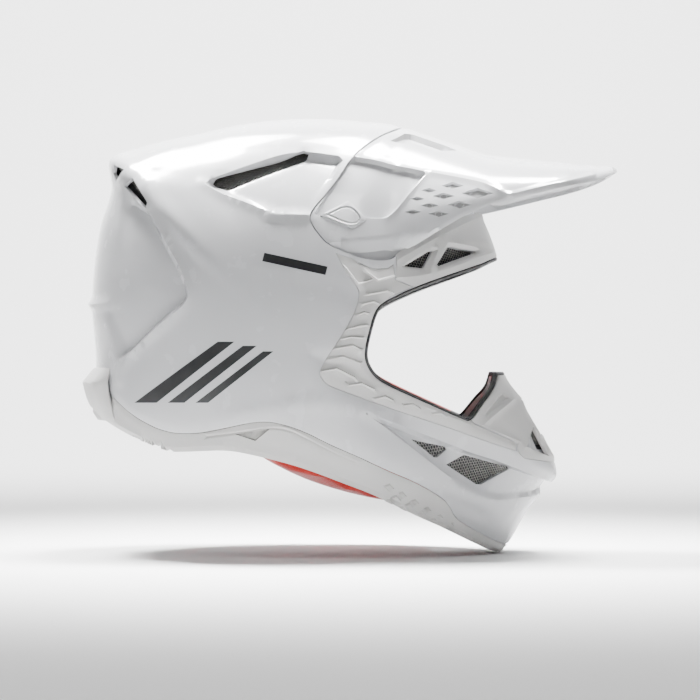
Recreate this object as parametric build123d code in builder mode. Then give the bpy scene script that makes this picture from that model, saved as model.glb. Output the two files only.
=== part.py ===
"""Motocross helmet: layered shell, trims, liners, strap and a tilting visor (millimetres)."""
from build123d import *
from functools import cache
from math import atan2, cos, degrees, hypot, radians, sin, tan
import os

os.makedirs("parts", exist_ok=True)

# Frame: origin in the middle of the head cavity, +X to the front, +Y to the wearer's left, +Z up.

# ---------------------------------------------------------------- driving dimensions
HALF_WIDTH = 121.0
HUB_X = 10.0
HUB_Z = 0.0
SHELL_THICKNESS = 5.0
TRIM_THICKNESS = 2.2
VISOR_THICKNESS = 2.0
VISOR_RECESS = 3.6
MESH_DEPTH = 5.2
MESH_THICKNESS = 1.0
FOAM_DEPTH = 6.4
FOAM_INNER = 36.0
CHEEK_FOAM_INNER = 18.7
PLATE_THICKNESS = 1.3
CROWN_PAD_THICKNESS = 9.0
NECK_ROLL_THICKNESS = 13.0
CHEEK_PAD_INNER = 56.0
RIM_THICKNESS = 8.0
SEAM_GAP = 0.3
CLEAR = 0.3
WIDE = 135.0
REST_TILT = 18.1
REST_X = 149.0
REST_Z = -144.6
PIVOT_X = 41.0
PIVOT_Z = 92.5
PIVOT_RADIUS = 4.0
PIVOT_CLEARANCE = 0.05
PIVOT_TIP_Y = 102.8
PIVOT_ROOT_Y = 93.0
BOSS_RADIUS = 8.5
BOSS_FACE_Y = 100.8
SEAT_RADIUS = 11.0
BROW_CLEARANCE = -2.5
RIVET_RADIUS = 2.5
RIVET_LENGTH = 10.0
SNAP_ROOT_GAP = 2.4
CHEEK_SNAPS = [(-20, -32), (40, -40), (88, -72)]
SEAT_FACE_Y = 100.4
SEAT_BACK_Y = 97.0
CAP_THICKNESS = 1.5
SCREW_X = 97.0
SCREW_Z = 155.0
SCREW_LEAN = 18.5
SCREW_RADIUS = 2.4
SCREW_HEAD_RADIUS = 7.0
SCREW_TRAVEL = 5.6
SCREW_HEAD_DROP = 2.3
CENTRE_BOSS_DROP = 7.5
CENTRE_BOSS_RADIUS = 9.0
STRAP_X = 2.0
STRAP_WIDTH = 25.0
STRAP_THICKNESS = 2.0
STRAP_DEPTH = 16.6
STRAP_SLOT_Z = -62.0
STRAP_TOP_Z = -28.0
D_RING_WIRE = 1.5
D_RING_Y = 33.0
D_RING_UPPER_Z = -64.6
D_RING_LOWER_Z = -68.2
D_RING_HALF = 14.5
SNAP_RADIUS = 4.0
SNAP_LENGTH = 4.0

# Centre-line form of the helmet seen from the side: angle about the hub, reach, fullness of the flank.
FORM = [
    (-60, 192, 2.2), (-46, 202.5, 1.8), (-36, 198, 1.62), (-30, 200, 1.55), (-26, 202.5, 1.5),
    (-20, 184, 1.55), (-14, 165, 1.65), (-7, 146, 1.8), (8, 146, 2.0), (25, 154, 2.1),
    (36, 159.5, 2.15), (50, 168, 2.2), (66, 174.5, 2.3), (76, 169.2, 2.3), (87, 166.3, 2.3),
    (97, 166.2, 2.3), (107, 168.6, 2.3), (116, 172.6, 2.3), (124, 181, 2.3), (130, 188.5, 2.3),
    (135.5, 195, 2.3), (140, 180, 2.3), (148, 171.3, 2.3), (158, 162, 2.3), (167, 156, 2.3),
    (180, 149.5, 2.3), (193, 152, 2.3), (206, 156, 2.35), (224, 160, 2.4), (245, 163, 2.4),
    (270, 167, 2.4), (288, 177, 2.35),
]

# Stations across the width, as fractions of the half width.
STATIONS = [0.1, 0.3, 0.5, 0.68, 0.82, 0.92, 0.975, 0.997]

# ---------------------------------------------------------------- outlines in the side view (X, Z)
PORT = [
    (149, 67), (136, 61), (118, 54.5), (98, 47.5), (78.5, 39.5), (64, 32), (59.5, 25), (56, 12.5),
    (53, -1), (54, -9.5), (59, -18), (67, -23.5), (83, -31), (103, -40), (122, -48.5), (128, -50.5),
    (137, -38), (146, -27), (149.5, -18), (205, -18), (205, 67),
]
TRIM_SEAM = [
    (33.5, 66.5), (40, 54), (48, 44), (50, 36.5), (45, 22), (35.5, 6.7), (27, -5.7), (22.5, -14.3),
    (22.5, -18), (27, -24), (40, -29), (59, -36), (78.5, -43), (98, -49.5), (117, -56), (137, -63.5),
    (161, -71.5),
]
TRIM_INNER = [
    (161, -65.5), (130, -51.5), (128, -48), (100, -30), (60, 0), (70, 36), (87, 43.5), (79, 46.5),
    (74.5, 48.5), (73.5, 59), (69, 56.2), (59, 56), (49.5, 60), (45, 63),
]
BROW = [
    (75, 48.5), (79.5, 46.8), (88, 43.6), (120, 40), (170, 40), (170, 75), (137.5, 99), (118, 92),
    (100, 82), (86, 74), (75.5, 66),
]
MOUTHPIECE = [
    (130, -51), (161, -65), (163, -73), (167, -76.5), (187, -80), (215, -84), (215, -10), (140, -10),
    (120, -40),
]
VISOR_SEAM = [
    (84, 170), (83, 160), (74.5, 155.5), (64.5, 150.3), (54.5, 143), (45, 134.5), (35.5, 118.5),
    (25.5, 105.5), (18, 97), (15.7, 91), (17, 87), (21, 81), (27.7, 73), (40, 68), (50, 64),
    (59, 62.5), (65, 62), (71, 63), (74, 65),
]
RIM_SEAM = [
    (-133, -23.7), (-121, -35.7), (-105, -48), (-85, -57), (-65, -58), (-46, -54.5), (-22, -49),
    (-7.5, -49.5), (11.5, -55.5), (30.5, -65.5), (49.5, -73.5), (69, -83), (88, -91), (107.5, -102.5),
    (113.5, -109.5), (117, -117.5), (128, -125), (148.5, -137), (158, -140),
]
RIM_EDGE = [
    (-133, -49), (-111, -60), (-90, -69), (-80.5, -71), (-61, -70), (-41, -69), (-22, -72.7),
    (2, -78.5), (21, -85), (40, -92.5), (59.5, -100), (74, -107.5), (93, -117), (108, -124),
    (128, -135), (149, -146),
]
CHIN_VENT_SMALL = [(89, -62.5), (103.5, -74), (105.5, -74), (112, -70), (111.5, -69)]
CHIN_VENT_LARGE = [(112, -80), (125.5, -74.5), (158, -84.5), (159, -86), (137, -95), (133, -94.5)]
TOP_VENT = [(-52, 114.5), (-48.5, 117), (13, 135.5), (15, 133.5), (12, 131.5), (-40, 109.5)]
REAR_VENT_HIGH = [(-124, 131), (-115.5, 127), (-123, 119), (-125, 125.5)]
REAR_VENT_LOW = [(-109, 120.5), (-115.5, 114.5), (-99.5, 98), (-98, 102.5)]
BROW_VENT_REAR = [(81, 58), (100, 69.5), (102, 69), (95, 56.7)]
BROW_VENT_FRONT = [(104.5, 59.5), (112.5, 72.5), (115.5, 72.5), (132.5, 70), (132.5, 68.7), (105.5, 58.5)]
CHEEK_ZONE = [
    (-29, -12), (42, -12), (52, -28), (95, -48), (112, -58), (112, -96), (74, -108), (59.5, -105.5),
    (40, -99.5), (21, -91.2), (1.5, -86), (-25.5, -72.3),
]
CROWN_ZONE = [(112, 52), (60, 24), (0, 6), (-60, -3), (-135, -8), (-135, 175), (130, 175)]
NECK_ZONE = [(-135, -11), (-62, -6), (-33, -8), (-31, -66), (-60, -66), (-80, -67), (-110, -56), (-135, -44)]
EXHAUST_COVER = [
    (-131, -12), (-137, -13), (-142.5, -18), (-149.5, -22.5), (-146, -30), (-144, -40), (-134.5, -49.5),
    (-128, -50), (-124, -38), (-128, -23),
]
DIAMOND = [(22.7, 92.7), (42.5, 103.1), (55, 89.9), (44.4, 83.2)]


# ---------------------------------------------------------------- the helmet's form
def form_at(angle):
    """Reach and fullness at an angle, by a smooth curve through the form's knots."""
    count = len(FORM)
    start = FORM[0][0]
    turned = (angle - start) % 360.0 + start
    index = max(i for i in range(count) if FORM[i][0] <= turned)
    knots = []
    for step in (-1, 0, 1, 2):
        place = index + step
        angle_k, reach_k, full_k = FORM[place % count]
        knots.append((angle_k + 360.0 * (place // count), reach_k, full_k))
    (a0, *p0), (a1, *p1), (a2, *p2), (a3, *p3) = knots
    span = a2 - a1
    t = (turned - a1) / span
    values = []
    for v0, v1, v2, v3 in zip(p0, p1, p2, p3):
        slope_1 = (v2 - v0) / (a2 - a0) * span
        slope_2 = (v3 - v1) / (a3 - a1) * span
        bend = (2 * t**3 - 3 * t**2 + 1) * v1 + (3 * t**2 - 2 * t**3) * v2
        values.append(bend + (t**3 - 2 * t**2 + t) * slope_1 + (t**3 - t**2) * slope_2)
    return values


def surface_y(x, z, inset=0.0):
    """Half width of the form at a point of the side view."""
    reach, fullness = form_at(degrees(atan2(z - HUB_Z, x - HUB_X)))
    ratio = hypot(x - HUB_X, z - HUB_Z) / (reach - inset)
    return (HALF_WIDTH - inset) * max(0.0, 1.0 - ratio**fullness) ** (1.0 / fullness)


def section_points(fraction, inset):
    """Points of the form's outline at one station across the width."""
    points = []
    for angle, reach, fullness in FORM:
        radius = (reach - inset) * (1.0 - fraction**fullness) ** (1.0 / fullness)
        points.append((HUB_X + radius * cos(radians(angle)), HUB_Z + radius * sin(radians(angle))))
    return points


@cache
def envelope(inset):
    """Solid form of the helmet, set in from the outside by inset."""
    with BuildPart() as body:
        for station in [-s for s in reversed(STATIONS)] + STATIONS:
            with BuildSketch(Plane.XZ.offset(-station * (HALF_WIDTH - inset))):
                with BuildLine():
                    Spline(*section_points(abs(station), inset), periodic=True)
                make_face()
        loft()
    return body.part


@cache
def layer(outer, inner):
    """Hollow skin of the form between two insets."""
    with BuildPart() as skin:
        add(envelope(outer))
        add(envelope(inner), mode=Mode.SUBTRACT)
    return skin.part


def side_prism(points, low=-WIDE, high=WIDE):
    """Block with an outline in the side view, between two widths."""
    with BuildPart() as prism:
        with BuildSketch(Plane.XZ.offset(-high)):
            with BuildLine():
                Polyline(*points, close=True)
            make_face()
        extrude(amount=high - low)
    return prism.part


def grown(points, amount):
    """Side-view outline moved outwards by amount."""
    with BuildSketch() as outline:
        with BuildLine():
            Polyline(*points, close=True)
        make_face()
        offset(amount=amount, kind=Kind.INTERSECTION)
    edges = outline.face().outer_wire().order_edges()
    return [((edge @ 0).X, (edge @ 0).Y) for edge in edges]


def below(line, depth=-260.0):
    """Side-view region under a line that runs from back to front."""
    return [(-200, line[0][1])] + line + [(240, line[-1][1]), (240, depth), (-200, depth)]


def largest(part):
    """The main solid of a part, without the crumbs that a cut leaves."""
    return part.solids().sort_by(SortBy.VOLUME)[-1]


def finish_pair(name, right_piece):
    """Write a right-hand piece and its mirror image."""
    finish(f"{name}_right", right_piece)
    with BuildPart() as left_piece:
        add(mirror(right_piece, about=Plane.XZ, mode=Mode.PRIVATE))
    finish(f"{name}_left", left_piece.part)


def finish(name, piece):
    """Label a piece and write it."""
    piece.label = name
    export_step(piece, f"parts/{name}.step")


# ---------------------------------------------------------------- shared cutting blocks
VISOR_ZONE = VISOR_SEAM + [(86, 74), (100, 82), (118, 92), (137.5, 99), (160, 105), (160, 175)]
RECESS_ZONE = grown(VISOR_ZONE, 1.0)
TRIM_ZONE = TRIM_SEAM + TRIM_INNER
RIM_ZONE = [(x, z - SEAM_GAP) for x, z in RIM_SEAM] + RIM_EDGE[::-1]
REST_RISE = tan(radians(REST_TILT))
REST_LINE = [(-200, REST_Z + REST_RISE * (REST_X + 200)), (240, REST_Z + REST_RISE * (REST_X - 240))]

port_block = side_prism(PORT)
under_seam = side_prism(below(RIM_SEAM))
under_rest = side_prism(REST_LINE + [(240, -260), (-200, -260)])
visor_block = side_prism(RECESS_ZONE)

# Plane square to the visor's crest at its centre screw.
lean = radians(SCREW_LEAN)
screw_plane = Plane((SCREW_X, 0, SCREW_Z), x_dir=(cos(lean), 0, -sin(lean)), z_dir=(sin(lean), 0, cos(lean)))

# ---------------------------------------------------------------- outer shell
with BuildPart() as trim_seat:
    for zone in (TRIM_ZONE, grown(BROW, SEAM_GAP), grown(MOUTHPIECE, SEAM_GAP)):
        add(side_prism(zone))
    add(envelope(TRIM_THICKNESS + CLEAR), mode=Mode.SUBTRACT)

with BuildPart() as visor_seat:
    add(visor_block)
    add(envelope(VISOR_RECESS), mode=Mode.SUBTRACT)

with BuildPart() as outer_shell:
    add(layer(0.0, SHELL_THICKNESS))
    add(port_block, mode=Mode.SUBTRACT)
    add(under_seam, mode=Mode.SUBTRACT)
    add(trim_seat.part, mode=Mode.SUBTRACT)
    for vent in (
        CHIN_VENT_SMALL, CHIN_VENT_LARGE, TOP_VENT, REAR_VENT_HIGH, REAR_VENT_LOW,
        BROW_VENT_REAR, BROW_VENT_FRONT,
    ):
        add(side_prism(vent), mode=Mode.SUBTRACT)
    with Locations((165, 0, -50)):
        Box(90, 44, 40, mode=Mode.SUBTRACT)
    for direction in (1, -1):
        with BuildSketch(Plane.XZ.offset(direction * SEAT_BACK_Y)):
            with Locations((PIVOT_X, PIVOT_Z)):
                Circle(SEAT_RADIUS)
        extrude(amount=direction * (SEAT_FACE_Y - SEAT_BACK_Y))
    add(visor_seat.part, mode=Mode.SUBTRACT)
    for direction in (1, -1):
        with BuildSketch(Plane.XZ.offset(direction * SEAT_FACE_Y)):
            with Locations((PIVOT_X, PIVOT_Z)):
                Circle(BOSS_RADIUS + 1)
        extrude(amount=direction * 30, mode=Mode.SUBTRACT)
        with BuildSketch(Plane.XZ.offset(direction * PIVOT_ROOT_Y)):
            with Locations((PIVOT_X, PIVOT_Z)):
                Circle(PIVOT_RADIUS + PIVOT_CLEARANCE)
        extrude(amount=direction * 30, mode=Mode.SUBTRACT)
    with BuildSketch(screw_plane):
        Circle(SCREW_RADIUS + PIVOT_CLEARANCE)
    extrude(amount=-30, mode=Mode.SUBTRACT)
finish("outer_shell", largest(outer_shell.part))

# ---------------------------------------------------------------- trims round the eye port
with BuildPart() as eyeport_trim:
    add(layer(0.0, TRIM_THICKNESS))
    add(side_prism(grown(TRIM_ZONE, -SEAM_GAP), -WIDE, -5), mode=Mode.INTERSECT)
    add(port_block, mode=Mode.SUBTRACT)
    add(side_prism(grown(BROW, SEAM_GAP), -WIDE, 0), mode=Mode.SUBTRACT)
    add(side_prism(grown(MOUTHPIECE, SEAM_GAP), -WIDE, 0), mode=Mode.SUBTRACT)
finish_pair("eyeport_trim", largest(eyeport_trim.part))

with BuildPart() as eyeport_edge_seal:
    add(layer(0.8, SHELL_THICKNESS + 6.0))
    add(side_prism(grown(PORT, -0.1)), mode=Mode.INTERSECT)
    add(side_prism(grown(PORT, -2.4)), mode=Mode.SUBTRACT)
finish("eyeport_edge_seal", largest(eyeport_edge_seal.part))

with BuildPart() as brow_vent_frame:
    add(layer(0.0, TRIM_THICKNESS))
    add(side_prism(BROW), mode=Mode.INTERSECT)
    add(port_block, mode=Mode.SUBTRACT)
    for vent in (BROW_VENT_REAR, BROW_VENT_FRONT):
        add(side_prism(vent), mode=Mode.SUBTRACT)
finish("brow_vent_frame", brow_vent_frame.part)

# ---------------------------------------------------------------- mouthpiece
MOUTH_VENT_SIDE = [(173, -55), (168, -69), (185, -76)]
with BuildPart() as mouthpiece:
    add(layer(-0.2, TRIM_THICKNESS))
    add(side_prism(MOUTHPIECE), mode=Mode.INTERSECT)
    add(port_block, mode=Mode.SUBTRACT)
    add(side_prism(MOUTH_VENT_SIDE), mode=Mode.SUBTRACT)
    with Locations((170, 0, -48)):
        Box(80, 22, 26, mode=Mode.SUBTRACT)
finish("mouthpiece", mouthpiece.part)

with BuildPart() as mouthpiece_mesh:
    add(layer(MESH_DEPTH, MESH_DEPTH + MESH_THICKNESS))
    with Locations((165, 0, -50)):
        Box(90, 56, 52, mode=Mode.INTERSECT)
    add(side_prism(grown(PORT, 3.0)), mode=Mode.SUBTRACT)
finish("mouthpiece_mesh", mouthpiece_mesh.part)

# ---------------------------------------------------------------- vent meshes behind the openings
MESHES = {
    "chin_vent_mesh": [(86, -58), (116, -66), (164, -80), (164, -92), (133, -99), (98, -82)],
    "top_vent_mesh": grown(TOP_VENT, 3.0),
    "brow_vent_mesh": [(80, 56), (96, 55), (137, 66.5), (137, 73.5), (104, 76.5), (90, 68)],
    "rear_vent_mesh": [(-128, 134), (-112, 129), (-92, 102), (-97, 93), (-120, 110)],
}
for name, outline in MESHES.items():
    with BuildPart() as vent_mesh:
        add(layer(MESH_DEPTH, MESH_DEPTH + MESH_THICKNESS))
        add(side_prism(outline, -WIDE, -0.2), mode=Mode.INTERSECT)
        if name == "brow_vent_mesh":
            add(port_block, mode=Mode.SUBTRACT)
        if name == "chin_vent_mesh":
            with Locations((165, 0, -50)):
                Box(92, 58, 54, mode=Mode.SUBTRACT)
    finish_pair(name, largest(vent_mesh.part))

# ---------------------------------------------------------------- lower rim and rear exhaust cover
with BuildPart() as lower_rim_trim:
    add(layer(0.0, RIM_THICKNESS))
    add(side_prism(RIM_ZONE), mode=Mode.INTERSECT)
    add(under_rest, mode=Mode.SUBTRACT)
finish("lower_rim_trim", lower_rim_trim.part)

with BuildPart() as rear_exhaust_cover:
    add(side_prism(EXHAUST_COVER, -62, 62))
    add(envelope(-0.1), mode=Mode.SUBTRACT)
    add(envelope(-11.0), mode=Mode.INTERSECT)
finish("rear_exhaust_cover", rear_exhaust_cover.part)

# ---------------------------------------------------------------- energy-absorbing foam
CHIN_ZONE = [(54, -14), (59, -22), (83, -35), (128, -55), (150, -20), (240, -20), (240, -160), (54, -160)]
foam_floor = side_prism(below([(x, z + 2.0) for x, z in RIM_SEAM]))
port_foam_block = side_prism(grown(PORT, 4.0))
with BuildPart() as cheek_room:
    add(side_prism(grown(CHEEK_ZONE, 2.0)))
    add(side_prism(CHIN_ZONE))
    add(envelope(CHEEK_FOAM_INNER), mode=Mode.INTERSECT)

# Rooms in the foam for the visor pivots, the strap and its anchors, and the pad snaps.
with BuildPart() as foam_rooms:
    with BuildSketch(Plane.XZ.offset(50)):
        with Locations((STRAP_X, -36)):
            Rectangle(STRAP_WIDTH + 6, 64)
    extrude(amount=70)
    add(envelope(STRAP_DEPTH - 2.2), mode=Mode.INTERSECT)
    with BuildSketch(Plane.XZ.offset(PIVOT_ROOT_Y - 1.0)):
        with Locations((PIVOT_X, PIVOT_Z)):
            Circle(SEAT_RADIUS + 0.5)
    extrude(amount=40)
    with BuildSketch(Plane.XZ.offset(60)):
        with Locations((STRAP_X, STRAP_TOP_Z + 10.2)):
            Circle(RIVET_RADIUS + 0.6)
        with Locations(*CHEEK_SNAPS):
            Circle(SNAP_RADIUS + 0.5)
    extrude(amount=70)
    mirror(about=Plane.XZ)

with BuildPart() as eps_liner:
    add(layer(FOAM_DEPTH, FOAM_INNER))
    add(port_foam_block, mode=Mode.SUBTRACT)
    add(foam_floor, mode=Mode.SUBTRACT)
    add(side_prism(CHIN_ZONE), mode=Mode.SUBTRACT)
    add(cheek_room.part, mode=Mode.SUBTRACT)
    add(foam_rooms.part, mode=Mode.SUBTRACT)
finish("eps_liner", largest(eps_liner.part))

with BuildPart() as chin_eps:
    add(layer(FOAM_DEPTH + 1.0, CHEEK_FOAM_INNER))
    add(side_prism(grown(CHIN_ZONE, -SEAM_GAP)), mode=Mode.INTERSECT)
    add(port_foam_block, mode=Mode.SUBTRACT)
    add(foam_floor, mode=Mode.SUBTRACT)
    add(foam_rooms.part, mode=Mode.SUBTRACT)
    with Locations((165, 0, -50)):
        Box(90, 40, 36, mode=Mode.SUBTRACT)
finish("chin_eps", largest(chin_eps.part))

# ---------------------------------------------------------------- comfort liners
with BuildPart() as crown_pad:
    add(layer(FOAM_INNER + CLEAR, FOAM_INNER + CROWN_PAD_THICKNESS))
    add(side_prism(CROWN_ZONE), mode=Mode.INTERSECT)
    add(side_prism(grown(PORT, 6.0)), mode=Mode.SUBTRACT)
finish("crown_pad", crown_pad.part)

with BuildPart() as neck_roll:
    add(layer(FOAM_INNER + CLEAR, FOAM_INNER + NECK_ROLL_THICKNESS))
    add(side_prism(NECK_ZONE), mode=Mode.INTERSECT)
finish("neck_roll", neck_roll.part)

PLATE_OUTER = CHEEK_FOAM_INNER + CLEAR
PLATE_INNER = PLATE_OUTER + PLATE_THICKNESS
PLATE_ZONE = grown(CHEEK_ZONE, -1.0)
with BuildPart() as strap_slot:
    with Locations((STRAP_X, -70, STRAP_SLOT_Z)):
        Box(STRAP_WIDTH + 5, 110, 12)

with BuildPart() as cheek_pad_plate:
    add(layer(PLATE_OUTER, PLATE_INNER))
    add(side_prism(PLATE_ZONE, -WIDE, -30), mode=Mode.INTERSECT)
    add(strap_slot.part, mode=Mode.SUBTRACT)
finish_pair("cheek_pad_plate", largest(cheek_pad_plate.part))

with BuildPart() as cheek_pad:
    add(layer(PLATE_INNER + CLEAR, CHEEK_PAD_INNER))
    add(side_prism(CHEEK_ZONE, -WIDE, -30), mode=Mode.INTERSECT)
    add(strap_slot.part, mode=Mode.SUBTRACT)
finish_pair("cheek_pad", largest(cheek_pad.part))

with BuildPart() as cheek_pad_snaps:
    for x, z in CHEEK_SNAPS:
        root = surface_y(x, z, PLATE_OUTER) + SNAP_ROOT_GAP
        with BuildSketch(Plane.XZ.offset(root)):
            with Locations((x, z)):
                Circle(SNAP_RADIUS)
        extrude(amount=SNAP_LENGTH)
    mirror(about=Plane.XZ)
finish("cheek_pad_snaps", cheek_pad_snaps.part)

# ---------------------------------------------------------------- chin strap with two D-rings
# The webbing hangs beside the foam, turns in through the cheek pad and lies across the opening.
hang = [(surface_y(STRAP_X, z, STRAP_DEPTH), z) for z in (STRAP_TOP_Z, -40, -52)]
turn = [(surface_y(STRAP_X, STRAP_SLOT_Z, STRAP_DEPTH), STRAP_SLOT_Z)]
LONG_END = [(50, STRAP_SLOT_Z - 0.5), (32, STRAP_SLOT_Z - 3), (14, STRAP_SLOT_Z - 6), (2, STRAP_SLOT_Z - 7)]
SHORT_END = [(50, STRAP_SLOT_Z - 0.5), (37, STRAP_SLOT_Z - 3.5)]
strap_plane = Plane.YZ.offset(STRAP_X - STRAP_WIDTH / 2)

with BuildPart() as chin_strap_right:
    with BuildSketch(strap_plane):
        with BuildLine():
            Polyline(*[(-y, z) for y, z in hang + turn + LONG_END])
        trace(line_width=STRAP_THICKNESS)
    extrude(amount=STRAP_WIDTH)
finish("chin_strap_right", chin_strap_right.part)

loop_height = D_RING_UPPER_Z - D_RING_LOWER_Z
loop_middle = (D_RING_UPPER_Z + D_RING_LOWER_Z) / 2
loop_inside = 2 * (D_RING_WIRE + CLEAR)
with BuildPart() as chin_strap_left:
    with BuildSketch(strap_plane):
        with BuildLine():
            Polyline(*(hang + turn + SHORT_END))
        trace(line_width=STRAP_THICKNESS)
        with Locations((D_RING_Y, loop_middle)):
            SlotCenterToCenter(loop_height, loop_inside + 2 * STRAP_THICKNESS, rotation=90)
            SlotCenterToCenter(loop_height, loop_inside, rotation=90, mode=Mode.SUBTRACT)
    extrude(amount=STRAP_WIDTH)
finish("chin_strap_left", chin_strap_left.part)

with BuildPart() as ring_form:
    with BuildSketch(Plane.XY):
        with Locations((D_RING_HALF, 0)):
            Circle(D_RING_WIRE)
    revolve(axis=Axis.Y, revolution_arc=180)
    with BuildSketch(Plane.YZ.offset(-D_RING_HALF)):
        Circle(D_RING_WIRE)
    extrude(amount=2 * D_RING_HALF)

RINGS = [("d_ring_upper", D_RING_UPPER_Z, -90), ("d_ring_lower", D_RING_LOWER_Z, 0)]
for name, height, turned in RINGS:
    with BuildPart() as ring:
        add(ring_form.part.moved(Location((STRAP_X, D_RING_Y, height), (turned, 0, 0))))
    finish(name, ring.part)

anchor_y = surface_y(STRAP_X, STRAP_TOP_Z + 10, STRAP_DEPTH)
with BuildPart() as strap_anchor_plates:
    with BuildSketch(Plane.XZ.offset(anchor_y - 0.75)):
        with Locations((STRAP_X, STRAP_TOP_Z + 10.2)):
            RectangleRounded(28, 20, 3)
            Circle(RIVET_RADIUS + 0.05, mode=Mode.SUBTRACT)
    extrude(amount=1.5)
    mirror(about=Plane.XZ)
finish("strap_anchor_plates", strap_anchor_plates.part)

with BuildPart() as strap_rivets:
    with BuildSketch(Plane.XZ.offset(anchor_y - 0.85)):
        with Locations((STRAP_X, STRAP_TOP_Z + 10.2)):
            Circle(RIVET_RADIUS)
    extrude(amount=RIVET_LENGTH)
    with BuildSketch(Plane.XZ.offset(anchor_y - 2.2)):
        with Locations((STRAP_X, STRAP_TOP_Z + 10.2)):
            Circle(RIVET_RADIUS + 2)
    extrude(amount=1.35)
    mirror(about=Plane.XZ)
finish("strap_rivets", strap_rivets.part)

# ---------------------------------------------------------------- visor
# Stations of the visor: distance forward, height of the crest, height of the lower edge, half width.
VISOR_STATIONS = [
    (70, 162.0, 64.0, 106.0), (88, 158.2, 72.5, 103.5), (104, 152.8, 81.5, 102.0),
    (120, 147.5, 91.5, 100.0), (140, 140.5, 100.8, 98.0), (160, 138.0, 105.3, 96.0),
    (185, 135.2, 111.2, 92.0), (210, 132.6, 117.0, 87.0), (238, 131.0, 124.0, 82.0),
]
ARCH_STEPS = 12


def arch_points(crest, edge, half_width):
    """Elliptical arch across the visor, from one lower edge over the crest to the other."""
    turns = [radians(180.0 * step / ARCH_STEPS) for step in range(ARCH_STEPS + 1)]
    return [(half_width * cos(turn), edge + (crest - edge) * sin(turn)) for turn in turns]


with BuildPart() as bill:
    for forward, crest, edge, half_width in VISOR_STATIONS:
        outer = arch_points(crest, edge, half_width)
        inner = arch_points(crest - VISOR_THICKNESS, edge, half_width - VISOR_THICKNESS)[::-1]
        with BuildSketch(Plane.YZ.offset(forward)):
            with BuildLine():
                Spline(*outer)
                Line(outer[-1], inner[0])
                Spline(*inner)
                Line(inner[-1], outer[0])
            make_face()
    loft()
    with BuildSketch(Plane.XY.offset(40)):
        with BuildLine():
            Polyline((50, 115), (170, 115), (192, 89))
            Spline((192, 89), (214, 70), (229, 40), (235.5, 0), (229, -40), (214, -70), (192, -89))
            Polyline((192, -89), (170, -115), (50, -115), (50, 115))
        make_face()
    extrude(amount=140, mode=Mode.INTERSECT)
    add(side_prism([(60, 180)] + VISOR_SEAM[:4] + [(60, 148)]), mode=Mode.SUBTRACT)

with BuildPart() as brow_room:
    add(side_prism(grown(BROW + [(75, 56)], 2.0)))
    add(envelope(BROW_CLEARANCE), mode=Mode.INTERSECT)

def screw_slot(radius, top, depth):
    """Slot block along the visor's crest, from a height below the surface down by depth."""
    with BuildPart() as slot:
        with BuildSketch(screw_plane.offset(-top)):
            with Locations((-SCREW_TRAVEL / 2, 0)):
                SlotCenterToCenter(SCREW_TRAVEL, 2 * radius)
        extrude(amount=-depth)
    return slot.part


with BuildPart() as pivot_bosses:
    with BuildSketch(Plane.XZ.offset(BOSS_FACE_Y)):
        with Locations((PIVOT_X, PIVOT_Z)):
            Circle(BOSS_RADIUS)
    extrude(amount=20)
    mirror(about=Plane.XZ)
    add(envelope(0.1), mode=Mode.INTERSECT)

with BuildPart() as visor:
    add(layer(0.0, VISOR_THICKNESS))
    add(side_prism(VISOR_SEAM + [(84, 70)]), mode=Mode.INTERSECT)
    add(bill.part)
    add(envelope(VISOR_THICKNESS), mode=Mode.SUBTRACT)
    add(brow_room.part, mode=Mode.SUBTRACT)
    add(pivot_bosses.part)
    add(screw_slot(SCREW_HEAD_RADIUS + 3.0, 0.6, 3.6))
    add(screw_slot(SCREW_HEAD_RADIUS + 1.0, -4.0, 6.4), mode=Mode.SUBTRACT)
    add(screw_slot(SCREW_RADIUS + 0.5, -4.0, 12.0), mode=Mode.SUBTRACT)
    with BuildSketch(Plane.XZ.offset(-WIDE)):
        with Locations((PIVOT_X, PIVOT_Z)):
            Circle(PIVOT_RADIUS + PIVOT_CLEARANCE)
    extrude(amount=2 * WIDE, mode=Mode.SUBTRACT)
finish("visor", largest(visor.part))

with BuildPart() as visor_side_cap:
    add(layer(-CAP_THICKNESS, -0.1))
    add(side_prism(DIAMOND, -WIDE, 0), mode=Mode.INTERSECT)
finish_pair("visor_side_cap", visor_side_cap.part)

with BuildPart() as visor_pivot:
    with BuildSketch(Plane.XZ.offset(PIVOT_ROOT_Y)):
        with Locations((PIVOT_X, PIVOT_Z)):
            Circle(PIVOT_RADIUS)
    extrude(amount=PIVOT_TIP_Y - PIVOT_ROOT_Y)
    with BuildSketch(Plane.XZ.offset(PIVOT_ROOT_Y)):
        with Locations((PIVOT_X, PIVOT_Z)):
            RegularPolygon(8, 6)
    extrude(amount=3.6)
finish_pair("visor_pivot", visor_pivot.part)

with BuildPart() as visor_centre_boss:
    with BuildSketch(screw_plane.offset(-CENTRE_BOSS_DROP)):
        Circle(CENTRE_BOSS_RADIUS)
        Circle(SCREW_RADIUS + PIVOT_CLEARANCE, mode=Mode.SUBTRACT)
    extrude(amount=-20)
    add(envelope(VISOR_RECESS - 0.1), mode=Mode.SUBTRACT)
finish("visor_centre_boss", visor_centre_boss.part)

with BuildPart() as visor_centre_screw:
    with BuildSketch(screw_plane.offset(-SCREW_HEAD_DROP)):
        Circle(SCREW_HEAD_RADIUS)
    extrude(amount=2.0)
    with BuildSketch(screw_plane.offset(2.0 - SCREW_HEAD_DROP)):
        Rectangle(9, 1.4)
    extrude(amount=-1.0, mode=Mode.SUBTRACT)
    with BuildSketch(screw_plane.offset(-SCREW_HEAD_DROP)):
        Circle(SCREW_RADIUS)
    extrude(amount=-7.0)
finish("visor_centre_screw", visor_centre_screw.part)
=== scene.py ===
import math

import bmesh
import bpy
import numpy as np
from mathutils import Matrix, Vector, kdtree
from mathutils.geometry import delaunay_2d_cdt


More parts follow.
